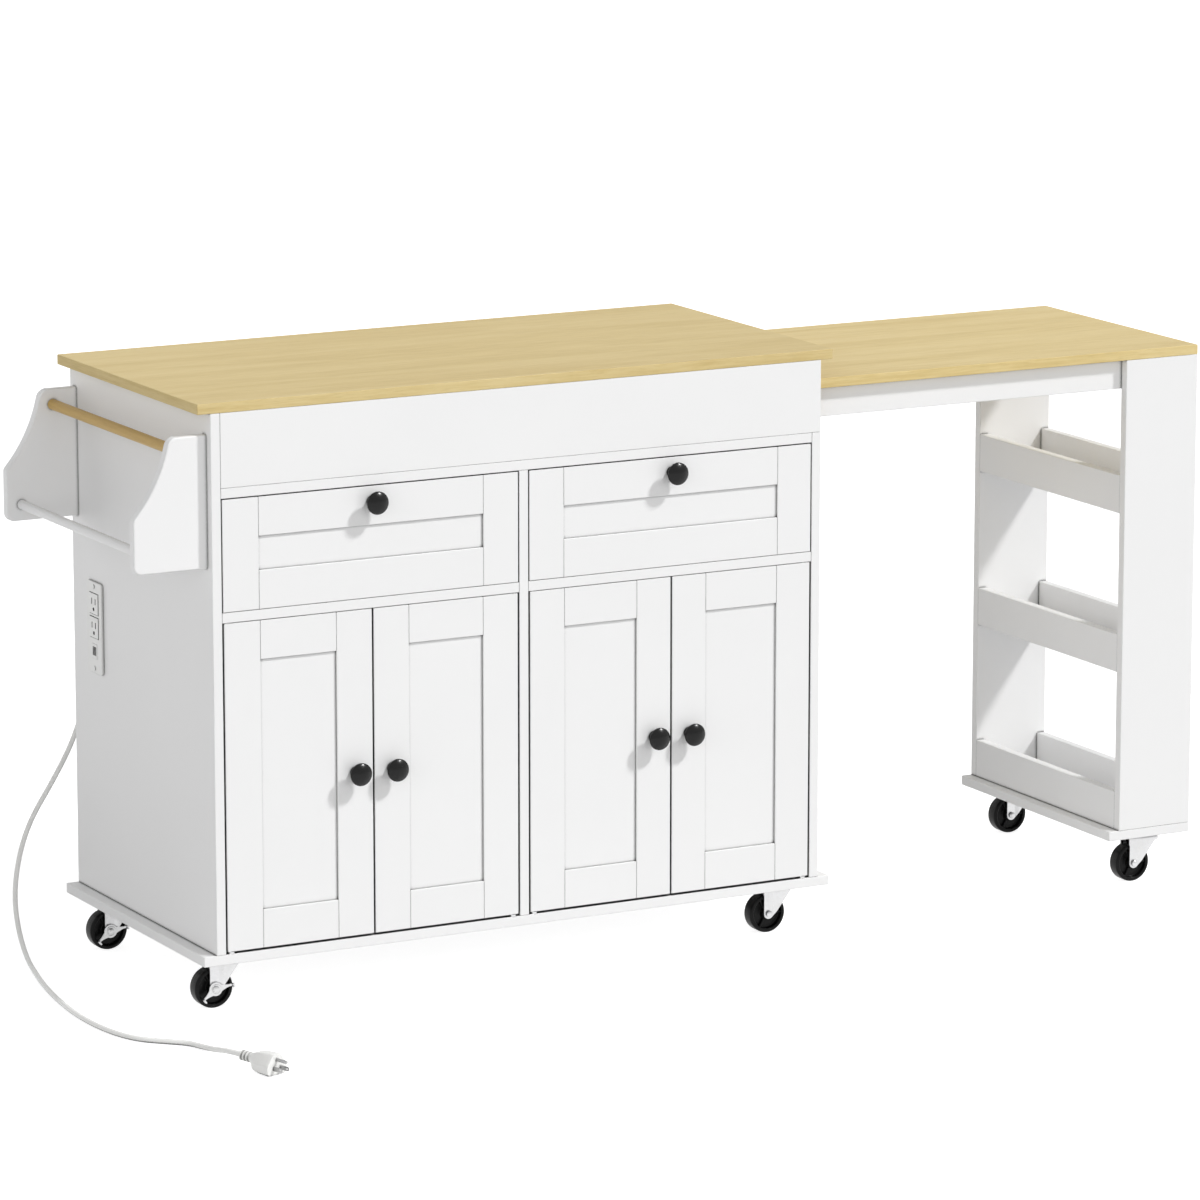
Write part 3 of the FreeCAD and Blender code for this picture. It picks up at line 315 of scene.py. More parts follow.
# %% Draw the outlines of knob and screw
MM = 0.001
KNOB_NODES = [name for name in nodes if name.endswith("_knob")]
FOOT_RADIUS, FOOT_HEIGHT, NECK_RADIUS, NECK_TOP = 8.5 * MM, 3 * MM, 6.5 * MM, 14.5 * MM
RIM_LOW, RIM_HIGH, RIM_EASE = 18 * MM, 21 * MM, 1.2 * MM
STEM_EASES = (0.3 * MM, 0.6 * MM, 3.2 * MM, 1.8 * MM, 1.1 * MM)
DOME_STEPS, SHOULDER_END = 22, 3
SCREW_EASES = (0.2 * MM, 1.2 * MM)


def knob_outline(radius, projection):
    """Foot, waist, flare and rim with eased corners, then a dome, a circle's arc through rim and
    crown: its radius is (r^2 + h^2) / 2h for a rim of radius r and a rise of h."""
    stem = eased((
        (0, 0), (FOOT_RADIUS, 0), (FOOT_RADIUS, FOOT_HEIGHT),
        (NECK_RADIUS, (FOOT_HEIGHT + NECK_TOP) / 2), (FOOT_RADIUS, NECK_TOP),
        (radius, RIM_LOW), (radius, (RIM_LOW + RIM_HIGH) / 2),
    ), STEM_EASES, steps=8)
    rise = projection - RIM_HIGH
    dome_radius = (radius ** 2 + rise ** 2) / (2 * rise)
    angle = np.linspace(math.acos(radius / dome_radius), math.pi / 2, DOME_STEPS)[SHOULDER_END:]
    dome = np.column_stack((np.cos(angle), np.sin(angle))) * dome_radius
    dome[:, 1] += projection - dome_radius
    shoulder = eased(np.vstack((stem[-1:], (radius, RIM_HIGH), dome[:1])), RIM_EASE, steps=8)
    return np.vstack((stem[:-1], shoulder[:-1], dome))


def screw_head_outline(radius, height):
    """Pan head with eased shoulders, from its seat to its crown."""
    return eased(((0, 0), (radius, 0), (radius, height), (0, height)), SCREW_EASES, steps=6)


print("outlines for", len(KNOB_NODES), "knobs and their screws")

# %% [markdown]
# A knob's size comes from its node's box, and its seat from the box of its front. Knob and screw
# face opposite ways, so the screw's head is turned over before it is set on the back.

# %% Turn the knobs
KNOB_SIDES, SCREW_SIDES = 72, 24
SCREW_RADIUS = 4.0 * MM


def make_knob(node):
    """Knob on the face of its front, and the head of its screw on the back of it."""
    front = node.removesuffix("_knob") if "door" in node else node.replace("knob", "front")
    low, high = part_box(node)
    front_low, front_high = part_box(front)
    face = np.array(((low.x + high.x) / 2, front_low.y, (low.z + high.z) / 2))
    behind = face + (0, front_high.y - front_low.y, 0)
    outline = knob_outline((high.x - low.x) / 2, front_low.y - low.y)
    knob, knob_faces = lathe_shell(outline, KNOB_SIDES)
    screw = screw_head_outline(SCREW_RADIUS, high.y - front_high.y)
    head, head_faces = lathe_shell(screw, SCREW_SIDES)
    piece = put_mesh(
        f"{node}_turned",
        (facing_front(knob, face), knob_faces),
        (facing_front(head * (1, 1, -1), behind), head_faces),
    )
    return stand_in(piece, node, "black_knob")


knobs = [make_knob(node) for node in KNOB_NODES]
print(len(knobs), "knobs,", len(knobs[0].data.vertices), "points each")

# %% [markdown]
# ## Caster wheels
# The wheels are moulded in black plastic: a rounded tread, a rim, a sunk web and three ribs that
# stop the web from flexing. Tread, rim and web are rings, so a lathe outline gives them. Extra
# rings across the web are there for the ribs to rise on.

# %% Draw the wheel's outline
WHEEL_NODES = [name for name in nodes if name.endswith("_wheel")]
WHEEL_RIM, WHEEL_HUB, WHEEL_WEB, AXLE_BORE = 6 * MM, 9 * MM, 3.5 * MM, 3.05 * MM
WEB_SLOPE, RIM_SLOPE_DROP, RIM_SLOPE_WIDTH = 0.8 * MM, 0.6 * MM, 1.4 * MM
TREAD_ROUND = 3.6 * MM
WHEEL_EASES = (0.4 * MM, 0.9 * MM, 1.6 * MM, 1.6 * MM, 0.5 * MM, 0.5 * MM, TREAD_ROUND)
WEB_MARGIN, WEB_STEPS = 3 * MM, 8


def wheel_half(radius, half):
    """Outline of one side, from the axle's bore out to the middle of the tread."""
    rim = radius - WHEEL_RIM
    return eased((
        (AXLE_BORE, 0), (AXLE_BORE, half), (WHEEL_HUB, half), (WHEEL_HUB + WEB_SLOPE, WHEEL_WEB),
        (rim - WEB_SLOPE, WHEEL_WEB), (rim, half - RIM_SLOPE_DROP), (rim + RIM_SLOPE_WIDTH, half),
        (radius, half), (radius, 0),
    ), WHEEL_EASES, steps=6)


def web_rings(outline, radius):
    """The same outline with more points across the web, so that the ribs have rings to rise on."""
    inner = WHEEL_HUB + WEB_MARGIN
    outer = radius - WHEEL_RIM - WEB_MARGIN
    gap = np.flatnonzero((outline[:-1, 0] < inner) & (outline[1:, 0] > outer))[0]
    across = np.linspace(outline[gap], outline[gap + 1], WEB_STEPS)[1:-1]
    return np.vstack((outline[:gap + 1], across, outline[gap + 1:]))


print("outline for", len(WHEEL_NODES), "wheels")

# %% [markdown]
# The ribs are a change of height with the angle. They could be blocks set on the web. Here the
# web's own rings are lifted where the angle is near a rib, so that the whole wheel stays one closed
# skin with soft edges, as a moulding has.

# %% Lift the ribs and turn the wheels
RIB_COUNT, RIB_WIDTH, RIB_SINK, RIB_BLUR = 3, 4 * MM, 2.4 * MM, 0.22 * MM
WHEEL_SIDES = 180


def ribbed(points, radius, half):
    """Rings of the web lifted to the ribs' height: full within a rib's half width w of its middle
    line, and falling off as 1 / (1 + exp((d - w) / blur)) at the distance d from it."""
    x, y, z = np.moveaxis(points, -1, 0)
    reach = np.hypot(x, y)
    step = 2 * np.pi / RIB_COUNT
    from_rib = (np.arctan2(y, x) + step / 2) % step - step / 2
    aside = np.abs(np.sin(from_rib)) * reach
    lift = 1 / (1 + np.exp((aside - RIB_WIDTH / 2) / RIB_BLUR))
    on_web = (reach > WHEEL_HUB) & (reach < radius - WHEEL_RIM)
    top = np.sign(z) * (half - RIB_SINK)
    lifted = np.where(on_web & (np.abs(z) < half - RIB_SINK), z + (top - z) * lift, z)
    return np.stack((x, y, lifted), axis=-1)


def make_wheel(node):
    """Wheel from the outline of both its sides, set on its axle."""
    low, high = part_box(node)
    radius = (high.z - low.z) / 2
    half = (high.y - low.y) / 2
    side = web_rings(wheel_half(radius, half), radius)
    outline = np.vstack((side, (side * (1, -1))[-2:0:-1]))
    points = ribbed(turned(outline, WHEEL_SIDES), radius, half)
    faces = [grid_faces(len(outline), WHEEL_SIDES, closed_rows=True)]
    shell = (facing_front(points, middle_of(node)), faces)
    return stand_in(put_mesh(f"{node}_moulded", shell, smooth_angle=50.0), node, "black_wheel")


wheels = [make_wheel(node) for node in WHEEL_NODES]
print(len(wheels), "wheels,", len(wheels[0].data.vertices), "points each")

# %% [markdown]
# ## Caster forks
# A fork is pressed from one sheet: two legs folded down from a crown, narrow beside the axle and
# flared out under the swivel bearing. Sections across the fork, each a folded strip of sheet,
# follow one another along X. Only how far a strip reaches down and out changes, round the axle's
# eye and then up the slope. The two halves mirror each other and leave the kingpin's hole between
# them.

# %% Fold a fork's half
FORK_NODES = [name for name in nodes if name.endswith("_fork")]
SHEET, FORK_EYE, CASTER_TRAIL, KINGPIN_HOLE = 2.3 * MM, 8 * MM, 20 * MM, 4.1 * MM
EYE_END, EYE_STEPS, SLOPE_STEPS = math.radians(-30), 28, 40
FLARE, FLARE_FROM, FLARE_TO = 3.0 * MM, 5 * MM, 14 * MM
FOLD, EDGE_EASE, LEAST_LEG = 3.2 * MM, 0.35 * MM, 1 * MM
INNER_FOLD = FOLD - SHEET + 1 * MM


def smooth_step(value, start, end):
    """Share that goes from 0 at start to 1 at end with level ends: 3t^2 - 2t^3."""
    t = np.clip((value - start) / (end - start), 0, 1)
    return t * t * (3 - 2 * t)


def fork_underside(x, reach, top):
    """Lower edge of a leg at x from the axle: the eye's circle, then a straight slope up to the
    crown's end."""
    foot_x, foot_z = FORK_EYE * math.cos(EYE_END), FORK_EYE * math.sin(EYE_END)
    eye = -np.sqrt(np.clip(FORK_EYE ** 2 - x ** 2, 0, None))
    slope = foot_z + (x - foot_x) * (top - foot_z) / (reach - foot_x)
    return np.minimum(np.where(x < foot_x, eye, slope), top - FOLD - SHEET - LEAST_LEG)


def strips(*corners):
    """Outlines (sections, corners, 2) from corners whose y and z are values or one per section."""
    return np.stack([np.column_stack(np.broadcast_arrays(y, z)) for y, z in corners], axis=1)


def fork_half(side, reach, top, half_width):
    """Closed grid: for each x, a folded strip that goes from the leg's edge up over the crown to
    the kingpin's hole, and home along the inside."""
    eye_x = -FORK_EYE * np.cos(np.linspace(0, math.pi + EYE_END, EYE_STEPS))
    x = np.append(eye_x, np.linspace(eye_x[-1], reach, SLOPE_STEPS)[1:])
    low = fork_underside(x, reach, top)
    wide = half_width + FLARE * smooth_step(x, FLARE_FROM, FLARE_TO)
    hole = np.sqrt(np.clip(KINGPIN_HOLE ** 2 - (x - CASTER_TRAIL) ** 2, 0, None))
    middle, inside, under = wide - SHEET / 2, wide - SHEET, top - SHEET
    outer = strips((middle, low), (wide, low), (wide, top), (hole, top))
    inner = strips((hole, under), (inside, under), (inside, low), (middle, low))
    outer = eased(outer, (EDGE_EASE, FOLD), steps=6)
    inner = eased(inner, (INNER_FOLD, EDGE_EASE), steps=6)
    y, z = np.moveaxis(np.concatenate((outer, inner[:, :-1]), axis=1), -1, 0)
    return capped_grid(np.stack((np.broadcast_to(x[:, None], y.shape), side * y, z), axis=-1))


print("sections for", len(FORK_NODES), "forks")

# %% [markdown]
# The axle is a rivet through both legs. It shows as a low dome on each side, so it is turned with a
# quarter of an ellipse at either end and joins the fork's mesh.

# %% Press the forks
RIVET_HEAD, RIVET_SHANK, RIVET_DOME = 5 * MM, 3 * MM, 2 * MM
RIVET_STEPS, RIVET_SIDES = 12, 48
WHEEL_ROOM = 1 * MM


def rivet_shell(front, back):
    """Turned rivet along Y with a head at each end: a low dome, a quarter of an ellipse."""
    angle = np.linspace(math.pi / 2, 0, RIVET_STEPS)
    dome = np.column_stack((RIVET_HEAD * np.cos(angle), RIVET_DOME * np.sin(angle)))
    first = np.column_stack((dome[:, 0], front + RIVET_DOME - dome[:, 1]))
    last = np.column_stack((dome[::-1, 0], back - RIVET_DOME + dome[::-1, 1]))
    shank = ((RIVET_SHANK, front + RIVET_DOME), (RIVET_SHANK, back - RIVET_DOME))
    points, faces = lathe_shell(np.vstack((first, shank, last)), RIVET_SIDES)
    return points[:, [0, 2, 1]], faces


def make_fork(node):
    """Two folded halves and the axle rivet, set round their wheel."""
    low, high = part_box(node)
    wheel = node.replace("_fork", "_wheel")
    wheel_low, wheel_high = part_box(wheel)
    axle = middle_of(wheel)
    half_width = (wheel_high.y - wheel_low.y) / 2 + WHEEL_ROOM + SHEET
    reach, top = high.x - axle[0], high.z - axle[2]
    shells = [fork_half(side, reach, top, half_width) for side in (-1, 1)]
    shells.append(rivet_shell(low.y - axle[1], high.y - axle[1]))
    placed = [(points + axle, faces) for points, faces in shells]
    return stand_in(put_mesh(f"{node}_pressed", *placed, smooth_angle=34.0), node, "zinc_steel")


forks = [make_fork(node) for node in FORK_NODES]
print(len(forks), "forks,", len(forks[0].data.vertices), "points each")

# %% [markdown]
# ## Brake pedals
# The two left casters have a rocking brake pedal on the axle: a round boss and two arms that taper
# in a hollow curve and curl outwards into a lip for the toe of a shoe. An arm is a sweep: a flat
# rounded section follows a straight run and a quarter circle, and its width is a formula of the way
# along it. That gives the curl and the taper in one go, where a bent plate would need both by hand.

# %% Sweep a pedal's arm
PEDAL_NODES = [name for name in nodes if name.endswith("_pedal")]
PEDAL_SHEET = 2.5 * MM
CURL_RADIUS, LIP_REACH = 4.0 * MM, 8 * MM
ARM_ROOT, ARM_WAIST, LIP_WIDTH = 10 * MM, 1.9 * MM, 3.2 * MM
RUN_STEPS, CURL_STEPS, LIP_STEPS, ARM_SIDES = 26, 10, 5, 28
TAPER_POWER, SECTION_POWER = 1.5, 0.45


def arm_path(length):
    """Way out from the axle and away from the wheel: straight, a quarter circle, then straight
    along the lip."""
    bend = length - CURL_RADIUS
    run = np.linspace(0, bend, RUN_STEPS)
    turn = np.linspace(0, math.pi / 2, CURL_STEPS)[1:]
    lip = np.linspace(CURL_RADIUS, LIP_REACH, LIP_STEPS)[1:]
    out = np.concatenate((run, bend + CURL_RADIUS * np.sin(turn), np.full(len(lip), length)))
    rise = np.concatenate((np.zeros(len(run)), CURL_RADIUS * (1 - np.cos(turn)), lip))
    return np.column_stack((out, rise))


def arm_shell(tip):
    """Grid of flat rounded sections along the path, each a superellipse, with powers of cos a and
    sin a for its two coordinates. The waist is narrowest where the lip starts."""
    length = np.linalg.norm(tip)
    along = tip / length
    path = arm_path(length)
    way = np.append(0, np.cumsum(np.linalg.norm(np.diff(path, axis=0), axis=1)))
    bend = length - CURL_RADIUS
    taper = ARM_WAIST + (ARM_ROOT - ARM_WAIST) * np.clip(1 - way / bend, 0, 1) ** TAPER_POWER
    width = taper + (LIP_WIDTH - ARM_WAIST) * smooth_step(way, bend, way[-1])
    heading = np.gradient(path, axis=0)
    heading /= np.linalg.norm(heading, axis=1, keepdims=True)
    angle = np.linspace(0, 2 * np.pi, ARM_SIDES, endpoint=False)
    waves = np.array((np.cos(angle), np.sin(angle)))
    across, through = np.sign(waves) * np.abs(waves) ** SECTION_POWER
    out = path[:, :1] - heading[:, 1:] * through * PEDAL_SHEET / 2
    rise = path[:, 1:] + heading[:, :1] * through * PEDAL_SHEET / 2
    side = width[:, None] * across
    return capped_grid(np.stack((
        out * along[0] - side * along[1], -rise, out * along[1] + side * along[0],
    ), axis=-1))


print("arms for", len(PEDAL_NODES), "pedals")

# %% [markdown]
# The boss is turned, with a low ring pressed into its face. Boss and arms overlap, as the plate
# that they are pressed from does.

# %% Make the pedals
PEDAL_BOSS, PEDAL_BORE = 10.5 * MM, 3.1 * MM
RING_INSIDE, RING_CREST, RING_OUTSIDE, RING_HEIGHT = 6.4 * MM, 7.0 * MM, 7.8 * MM, 0.5 * MM
BOSS_EASES = (0.2 * MM, 0.3 * MM, 0.3 * MM, 0.3 * MM, 0.7 * MM, 0.4 * MM)
BOSS_SIDES = 72
PEDAL_ARMS = np.array(((-20, -15), (26, 4))) * MM


def boss_shell():
    """Turned boss round the axle with a low ring on its face."""
    face, back = PEDAL_SHEET / 2, -PEDAL_SHEET / 2
    outline = eased((
        (PEDAL_BORE, back), (PEDAL_BORE, face), (RING_INSIDE, face),
        (RING_CREST, face + RING_HEIGHT), (RING_OUTSIDE, face), (PEDAL_BOSS, face),
        (PEDAL_BOSS, back), (PEDAL_BORE, back),
    ), BOSS_EASES, steps=5)[:-1]
    faces = [grid_faces(len(outline), BOSS_SIDES, closed_rows=True)]
    return facing_front(turned(outline, BOSS_SIDES), np.zeros(3)), faces


def make_pedal(node):
    """Boss and two arms, set on the axle outside the fork."""
    _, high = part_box(node)
    axle = middle_of(node.replace("_brake_pedal", "_caster_wheel"))
    plate = np.array((axle[0], high.y - PEDAL_SHEET / 2, axle[2]))
    shells = [boss_shell(), *(arm_shell(tip) for tip in PEDAL_ARMS)]
    placed = [(points + plate, faces) for points, faces in shells]
    return stand_in(put_mesh(f"{node}_pressed", *placed), node, "zinc_steel")


pedals = [make_pedal(node) for node in PEDAL_NODES]
print(len(pedals), "pedals,", len(pedals[0].data.vertices), "points each")

# %% [markdown]
# ## Plug and gland
# The plug is moulded onto the cord: a neck with three rings, then a grip whose section grows from a
# circle to the outline of a house, broad at the two blades and narrow at the earth pin. That is a
# loft: each section is a blend of the two outlines, and its width and height follow the place along
# the plug.

# %% Draw the plug's sections
PLUG_LENGTH, NECK_LENGTH = 72 * MM, 20 * MM
PLUG_NECK, PLUG_RING = 5.0 * MM, 7.8 * MM
RING_PITCH, RING_SHIFT, RING_STEEPNESS = 6.6 * MM, 0.02, 3
NECK_STEPS, GRIP_STEPS, GRIP_SIDES = 46, 30, 96
GRIP_START, GRIP_BLEND = 0.4 * MM, 16 * MM
# Place along the plug, width, height
GRIP_SIZES = np.array((
    (20, 14, 14), (27, 21, 18), (38, 33, 26), (50, 36.5, 29.5), (68, 38, 31), (72, 36, 29.5),
)) * MM
HOUSE = np.array(((0, -0.5), (0.40, -0.5), (0.5, -0.36), (0.5, 0), (0.2, 0.5), (0, 0.5)))
HOUSE_EASE = 0.07


def around_outline(half, sides):
    """Closed outline from its right half, eased at the corners and shared out evenly by length."""
    right = eased(half, HOUSE_EASE, steps=8)
    left = right[-2:0:-1] * (-1, 1)
    loop = np.vstack((right, left, right[:1]))
    run = np.append(0, np.cumsum(np.linalg.norm(np.diff(loop, axis=0), axis=1)))
    even = np.linspace(0, run[-1], sides, endpoint=False)
    return np.column_stack([np.interp(even, run, loop[:, k]) for k in (0, 1)])


def plug_sections():
    """Grid of sections: first circles whose radius is a clipped sine, the ringed neck, then
    (1 - s) circle + s house, times width and height, with s growing from 0 to 1."""
    house = around_outline(HOUSE, GRIP_SIDES)
    start = np.arctan2(house[:, 1], house[:, 0])
    circle = np.column_stack((np.cos(start), np.sin(start))) / 2
    neck_place = np.linspace(0, NECK_LENGTH, NECK_STEPS)
    wave = np.sin(2 * np.pi * (neck_place / RING_PITCH - RING_SHIFT)) * RING_STEEPNESS
    neck_radius = PLUG_NECK + (PLUG_RING - PLUG_NECK) * (np.clip(wave, -1, 1) + 1) / 2
    neck = circle[None] * 2 * neck_radius[:, None, None]
    grip_place = np.linspace(NECK_LENGTH + GRIP_START, PLUG_LENGTH, GRIP_STEPS)
    sizes = [np.interp(grip_place, GRIP_SIZES[:, 0], GRIP_SIZES[:, k]) for k in (1, 2)]
    share = smooth_step(grip_place, NECK_LENGTH, NECK_LENGTH + GRIP_BLEND)[:, None, None]
    grip = ((1 - share) * circle + share * house) * np.stack(sizes, axis=-1)[:, None]
    flat = np.vstack((neck, grip))
    along = np.append(neck_place, grip_place)[:, None, None]
    return np.concatenate((np.broadcast_to(along, (*flat.shape[:2], 1)), flat), axis=-1)


print("plug of", len(plug_sections()), "sections with", GRIP_SIDES, "points")

# %% [markdown]
# The plug lies where the cord ends and points on along it. Its sections are given along, across and
# up the plug, so three directions found from the cord's last two points carry them over.

# %% Loft the plug
def plug_frame():
    """Directions along the plug, across it and up, from the cord's last two points."""
    along = cord_points[-1] - cord_points[-2]
    along /= np.linalg.norm(along)
    across = np.cross((0, 0, 1), along)
    across /= np.linalg.norm(across)
    return np.array((along, across, np.cross(along, across)))


def on_plug(points):
    """Points given along, across and up the plug, in the island's frame."""
    return points.reshape(-1, 3) @ plug_frame() + cord_points[-1]


plug_points, plug_faces = capped_grid(plug_sections())
plug = put_mesh("plug_moulding", (on_plug(plug_points), plug_faces), smooth_angle=34.0)
stand_in(plug, "plug_body", "white_plastic")
print("plug", np.round(np.ptp(plug_points, axis=0) * 1000, 1).tolist(), "mm along, across and up")

# %% [markdown]
# Two flat blades and a round earth pin stand out of the plug's face. A blade has a hole near its
# tip. A Boolean could cut it. Here a blade is a grid of its own: rays run from the hole's edge to
# the blade's outline, and the grid goes over the front face, round the edge, over the back face and
# home through the hole.

# %% Draw a blade
BLADE_LENGTH, BLADE_HEIGHT, BLADE_THICKNESS, BLADE_EASE = 18 * MM, 6.4 * MM, 1.6 * MM, 0.3 * MM
BLADE_SPREAD, BLADE_DROP = 12.7 * MM, 4.9 * MM
HOLE_RADIUS, HOLE_FROM_TIP = 1.5 * MM, 4.0 * MM
TIP_POWER, ROOT_POWER = 3.0, 40.0
BLADE_SIDES = 96


def blade_outline(angle):
    """Distance from the hole to the blade's edge in each direction: a superellipse of the blade's
    half height and its reach that way, rounded at the tip and all but square at the root."""
    cosine, sine = np.cos(angle), np.sin(angle)
    reach = np.where(cosine > 0, HOLE_FROM_TIP, BLADE_LENGTH - HOLE_FROM_TIP)
    power = np.where(cosine > 0, TIP_POWER, ROOT_POWER)
    ratio = (np.abs(cosine) / reach) ** power + (np.abs(sine) / (BLADE_HEIGHT / 2)) ** power
    return ratio ** (-1 / power)


def blade_shell(side):
    """Ring-shaped grid: hole edge, outline, outline on the other face, hole edge on that face."""
    angle = np.linspace(0, 2 * np.pi, BLADE_SIDES, endpoint=False)
    hole = np.full(BLADE_SIDES, HOLE_RADIUS)
    edge = blade_outline(angle)
    inset = edge - BLADE_EASE
    thick = BLADE_THICKNESS / 2
    reach = np.array((hole, inset, edge, edge, inset, hole))
    aside = np.array((thick, thick, thick - BLADE_EASE, BLADE_EASE - thick, -thick, -thick))
    along = PLUG_LENGTH + BLADE_LENGTH - HOLE_FROM_TIP + reach * np.cos(angle)
    across = np.broadcast_to(side * BLADE_SPREAD / 2 + aside[:, None], reach.shape)
    up = reach * np.sin(angle) - BLADE_DROP
    faces = [grid_faces(len(reach), BLADE_SIDES, closed_rows=True)]
    return on_plug(np.stack((along, across, up), axis=-1)), faces


print("blade of", len(blade_shell(1)[0]), "points")

# %% [markdown]
# The earth pin is turned, with a domed tip, and lies along the plug above the blades. All three
# prongs go into one mesh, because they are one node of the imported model.

# %% Make the prongs
EARTH_RADIUS, EARTH_LENGTH, EARTH_RISE = 2.4 * MM, 21 * MM, 7.0 * MM
EARTH_EASES, EARTH_SIDES = (0.2 * MM, 2.0 * MM), 40


def earth_shell():
    """Turned pin with a domed tip, laid along the plug."""
    outline = eased((
        (0, 0), (EARTH_RADIUS, 0), (EARTH_RADIUS, EARTH_LENGTH), (0, EARTH_LENGTH),
    ), EARTH_EASES, steps=10)
    points, faces = lathe_shell(outline, EARTH_SIDES)
    return on_plug(points[:, [2, 0, 1]] + (PLUG_LENGTH, 0, EARTH_RISE)), faces


prongs = put_mesh("plug_blades_and_pin", blade_shell(-1), blade_shell(1), earth_shell())
stand_in(prongs, "plug_prongs", "zinc_steel")
print("prongs,", len(prongs.data.vertices), "points")

# %% [markdown]
# Where the cord leaves the back panel it is held by a gland: a flange and a tapering nose cut by
# grooves, so that it bends a little with the cord. It is one more lathe outline, with a groove's
# depth as a wave along the nose.

# %% Turn the gland
GLAND_FLANGE, GLAND_NOSE, NOSE_ROOT, NOSE_TIP = 3 * MM, 27 * MM, 8 * MM, 5.5 * MM
NOSE_GROOVES, GROOVE_DEPTH, GROOVE_EDGE = 4, 2.2 * MM, 0.55
GROOVES_FROM, GROOVES_TO = 0.06, 0.95
FLANGE_EASES = (0.3 * MM, 1.0 * MM)
NOSE_STEPS, GLAND_SIDES = 60, 64


def gland_outline(flange_radius):
    """Flange with an eased rim, then a cone whose radius dips in evenly spaced grooves, where a
    cosine along the nose rises over a level."""
    place = np.linspace(0, 1, NOSE_STEPS)
    dip = np.clip(np.cos(2 * np.pi * NOSE_GROOVES * place) - GROOVE_EDGE, 0, 1)
    dip *= (place > GROOVES_FROM) & (place < GROOVES_TO)
    radius = NOSE_ROOT + (NOSE_TIP - NOSE_ROOT) * place - GROOVE_DEPTH * dip
    cone = np.column_stack((radius, GLAND_FLANGE + GLAND_NOSE * place))
    rim = eased((
        (0, 0), (flange_radius, 0), (flange_radius, GLAND_FLANGE), cone[0],
    ), FLANGE_EASES)
    return np.vstack((rim, cone[1:], (0, GLAND_FLANGE + GLAND_NOSE)))


gland_low, gland_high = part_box("cord_gland")
gland_points, gland_faces = lathe_shell(
    gland_outline((gland_high.x - gland_low.x) / 2), GLAND_SIDES,
)
gland_place = np.array((
    cord_points[0][0], gland_high.y - GLAND_FLANGE - GLAND_NOSE, cord_points[0][2],
))
gland = put_mesh("cord_gland_moulding", (gland_points[:, [0, 2, 1]] + gland_place, gland_faces))
stand_in(gland, "cord_gland", "white_plastic")
print("gland at", np.round(gland_place, 3).tolist())

# %% [markdown]
# With plug and gland in place, the cord is a mains lead that leaves the back panel and ends in a
# plug.

# %% [markdown]
# ## Finishes
# Each finish is a small tree of nodes that reads Object coordinates, which are metres in the
# island's own frame, so a pattern keeps its real scale on every board. The trees could be drawn in
# the Shader Editor. Written out with one helper that adds a node and joins it up, they stay short
# and can share their parts.

# %% Start a finish
def new_finish(name):
    """Empty material: the material, its node tree and its shader."""
    material = bpy.data.materials.new(name)
    material.use_nodes = True
    tree = material.node_tree
    return material, tree, tree.nodes["Principled BSDF"]


def add(tree, kind, inputs=None, **settings):
    """New node with its settings, and its inputs given as values or as other nodes' outputs."""
    made = tree.nodes.new(f"ShaderNode{kind}")
    for name, value in settings.items():
        setattr(made, name, value)
    for socket, value in (inputs or {}).items():
        if isinstance(value, bpy.types.NodeSocket):
            tree.links.new(value, made.inputs[socket])
        else:
            made.inputs[socket].default_value = value
    return made


def place(tree):
    """Metres in the island's frame."""
    return add(tree, "TexCoord").outputs["Object"]


FINISHES = {}
slot_of = {part["node"]: part["material_slot"] for part in frame["record"]["subparts"]}
print("finishes wanted:", ", ".join(sorted(set(slot_of.values()))))

# %% [markdown]
# What varies over a surface (tone, gloss, a fine relief) comes from noise. What is the same all over
# it is set on the shader itself. A finish may also have painted shade: its colour is darkened where
# its surface is closed in, in the slits round a door and in recesses, where shade falls.

# %% Vary a finish over its surface
GAP_REACH, GAP_SAMPLES = 0.006, 6
GAP_TONE, GAP_CLOSED, GAP_OPEN = 0.02, 0.33, 0.85


def noise(tree, vector, stretch=(1, 1, 1), scale=1.0, detail=3.0, roughness=0.5, distortion=0.0):
    """Noise whose vector is stretched first, as for fibres."""
    spot = add(tree, "Mapping", {"Vector": vector, "Scale": stretch}).outputs["Vector"]
    return add(tree, "TexNoise", {
        "Vector": spot, "Scale": scale, "Detail": detail, "Roughness": roughness,
        "Distortion": distortion,
    }).outputs["Fac"]


def tone(tree, value, *stops):
    """Colour ramp over a value: each stop is a place and a colour."""
    ramp = add(tree, "ValToRGB", {"Fac": value})
    elements = ramp.color_ramp.elements
    while len(elements) < len(stops):
        elements.new(0.5)
    for element, (at, colour) in zip(elements, stops):
        element.position = at
        element.color = (*colour, 1)
    return ramp.outputs["Color"]


def between(tree, value, low, high, start=0.3, end=0.7):
    """Value mapped from the range start to end to the range low to high."""
    return add(tree, "MapRange", {
        "Value": value, "From Min": start, "From Max": end, "To Min": low, "To Max": high,
    }).outputs["Result"]


def relief(tree, shader, height, strength, depth):
    """Fine bump on the shader, its depth in metres."""
    bump = add(tree, "Bump", {"Height": height, "Strength": strength, "Distance": depth})
    tree.links.new(bump.outputs["Normal"], shader.inputs["Normal"])


def painted_gap_shade(tree, colour):
    """Painted shade: colour darkened where the surface is closed in within GAP_REACH metres, as shade
    falls in gaps and recesses. The Ambient Occlusion node gives the open share of what a point looks
    out on."""
    occlusion = add(tree, "AmbientOcclusion", {"Distance": GAP_REACH}, samples=GAP_SAMPLES)
    kept = between(tree, occlusion.outputs["AO"], GAP_TONE, 1.0, GAP_CLOSED, GAP_OPEN)
    mix = add(tree, "Mix", {"Factor": kept, "A": (0.0, 0.0, 0.0, 1.0)}, data_type="RGBA")
    tree.links.new(colour, mix.inputs["B"])
    return mix.outputs["Result"]


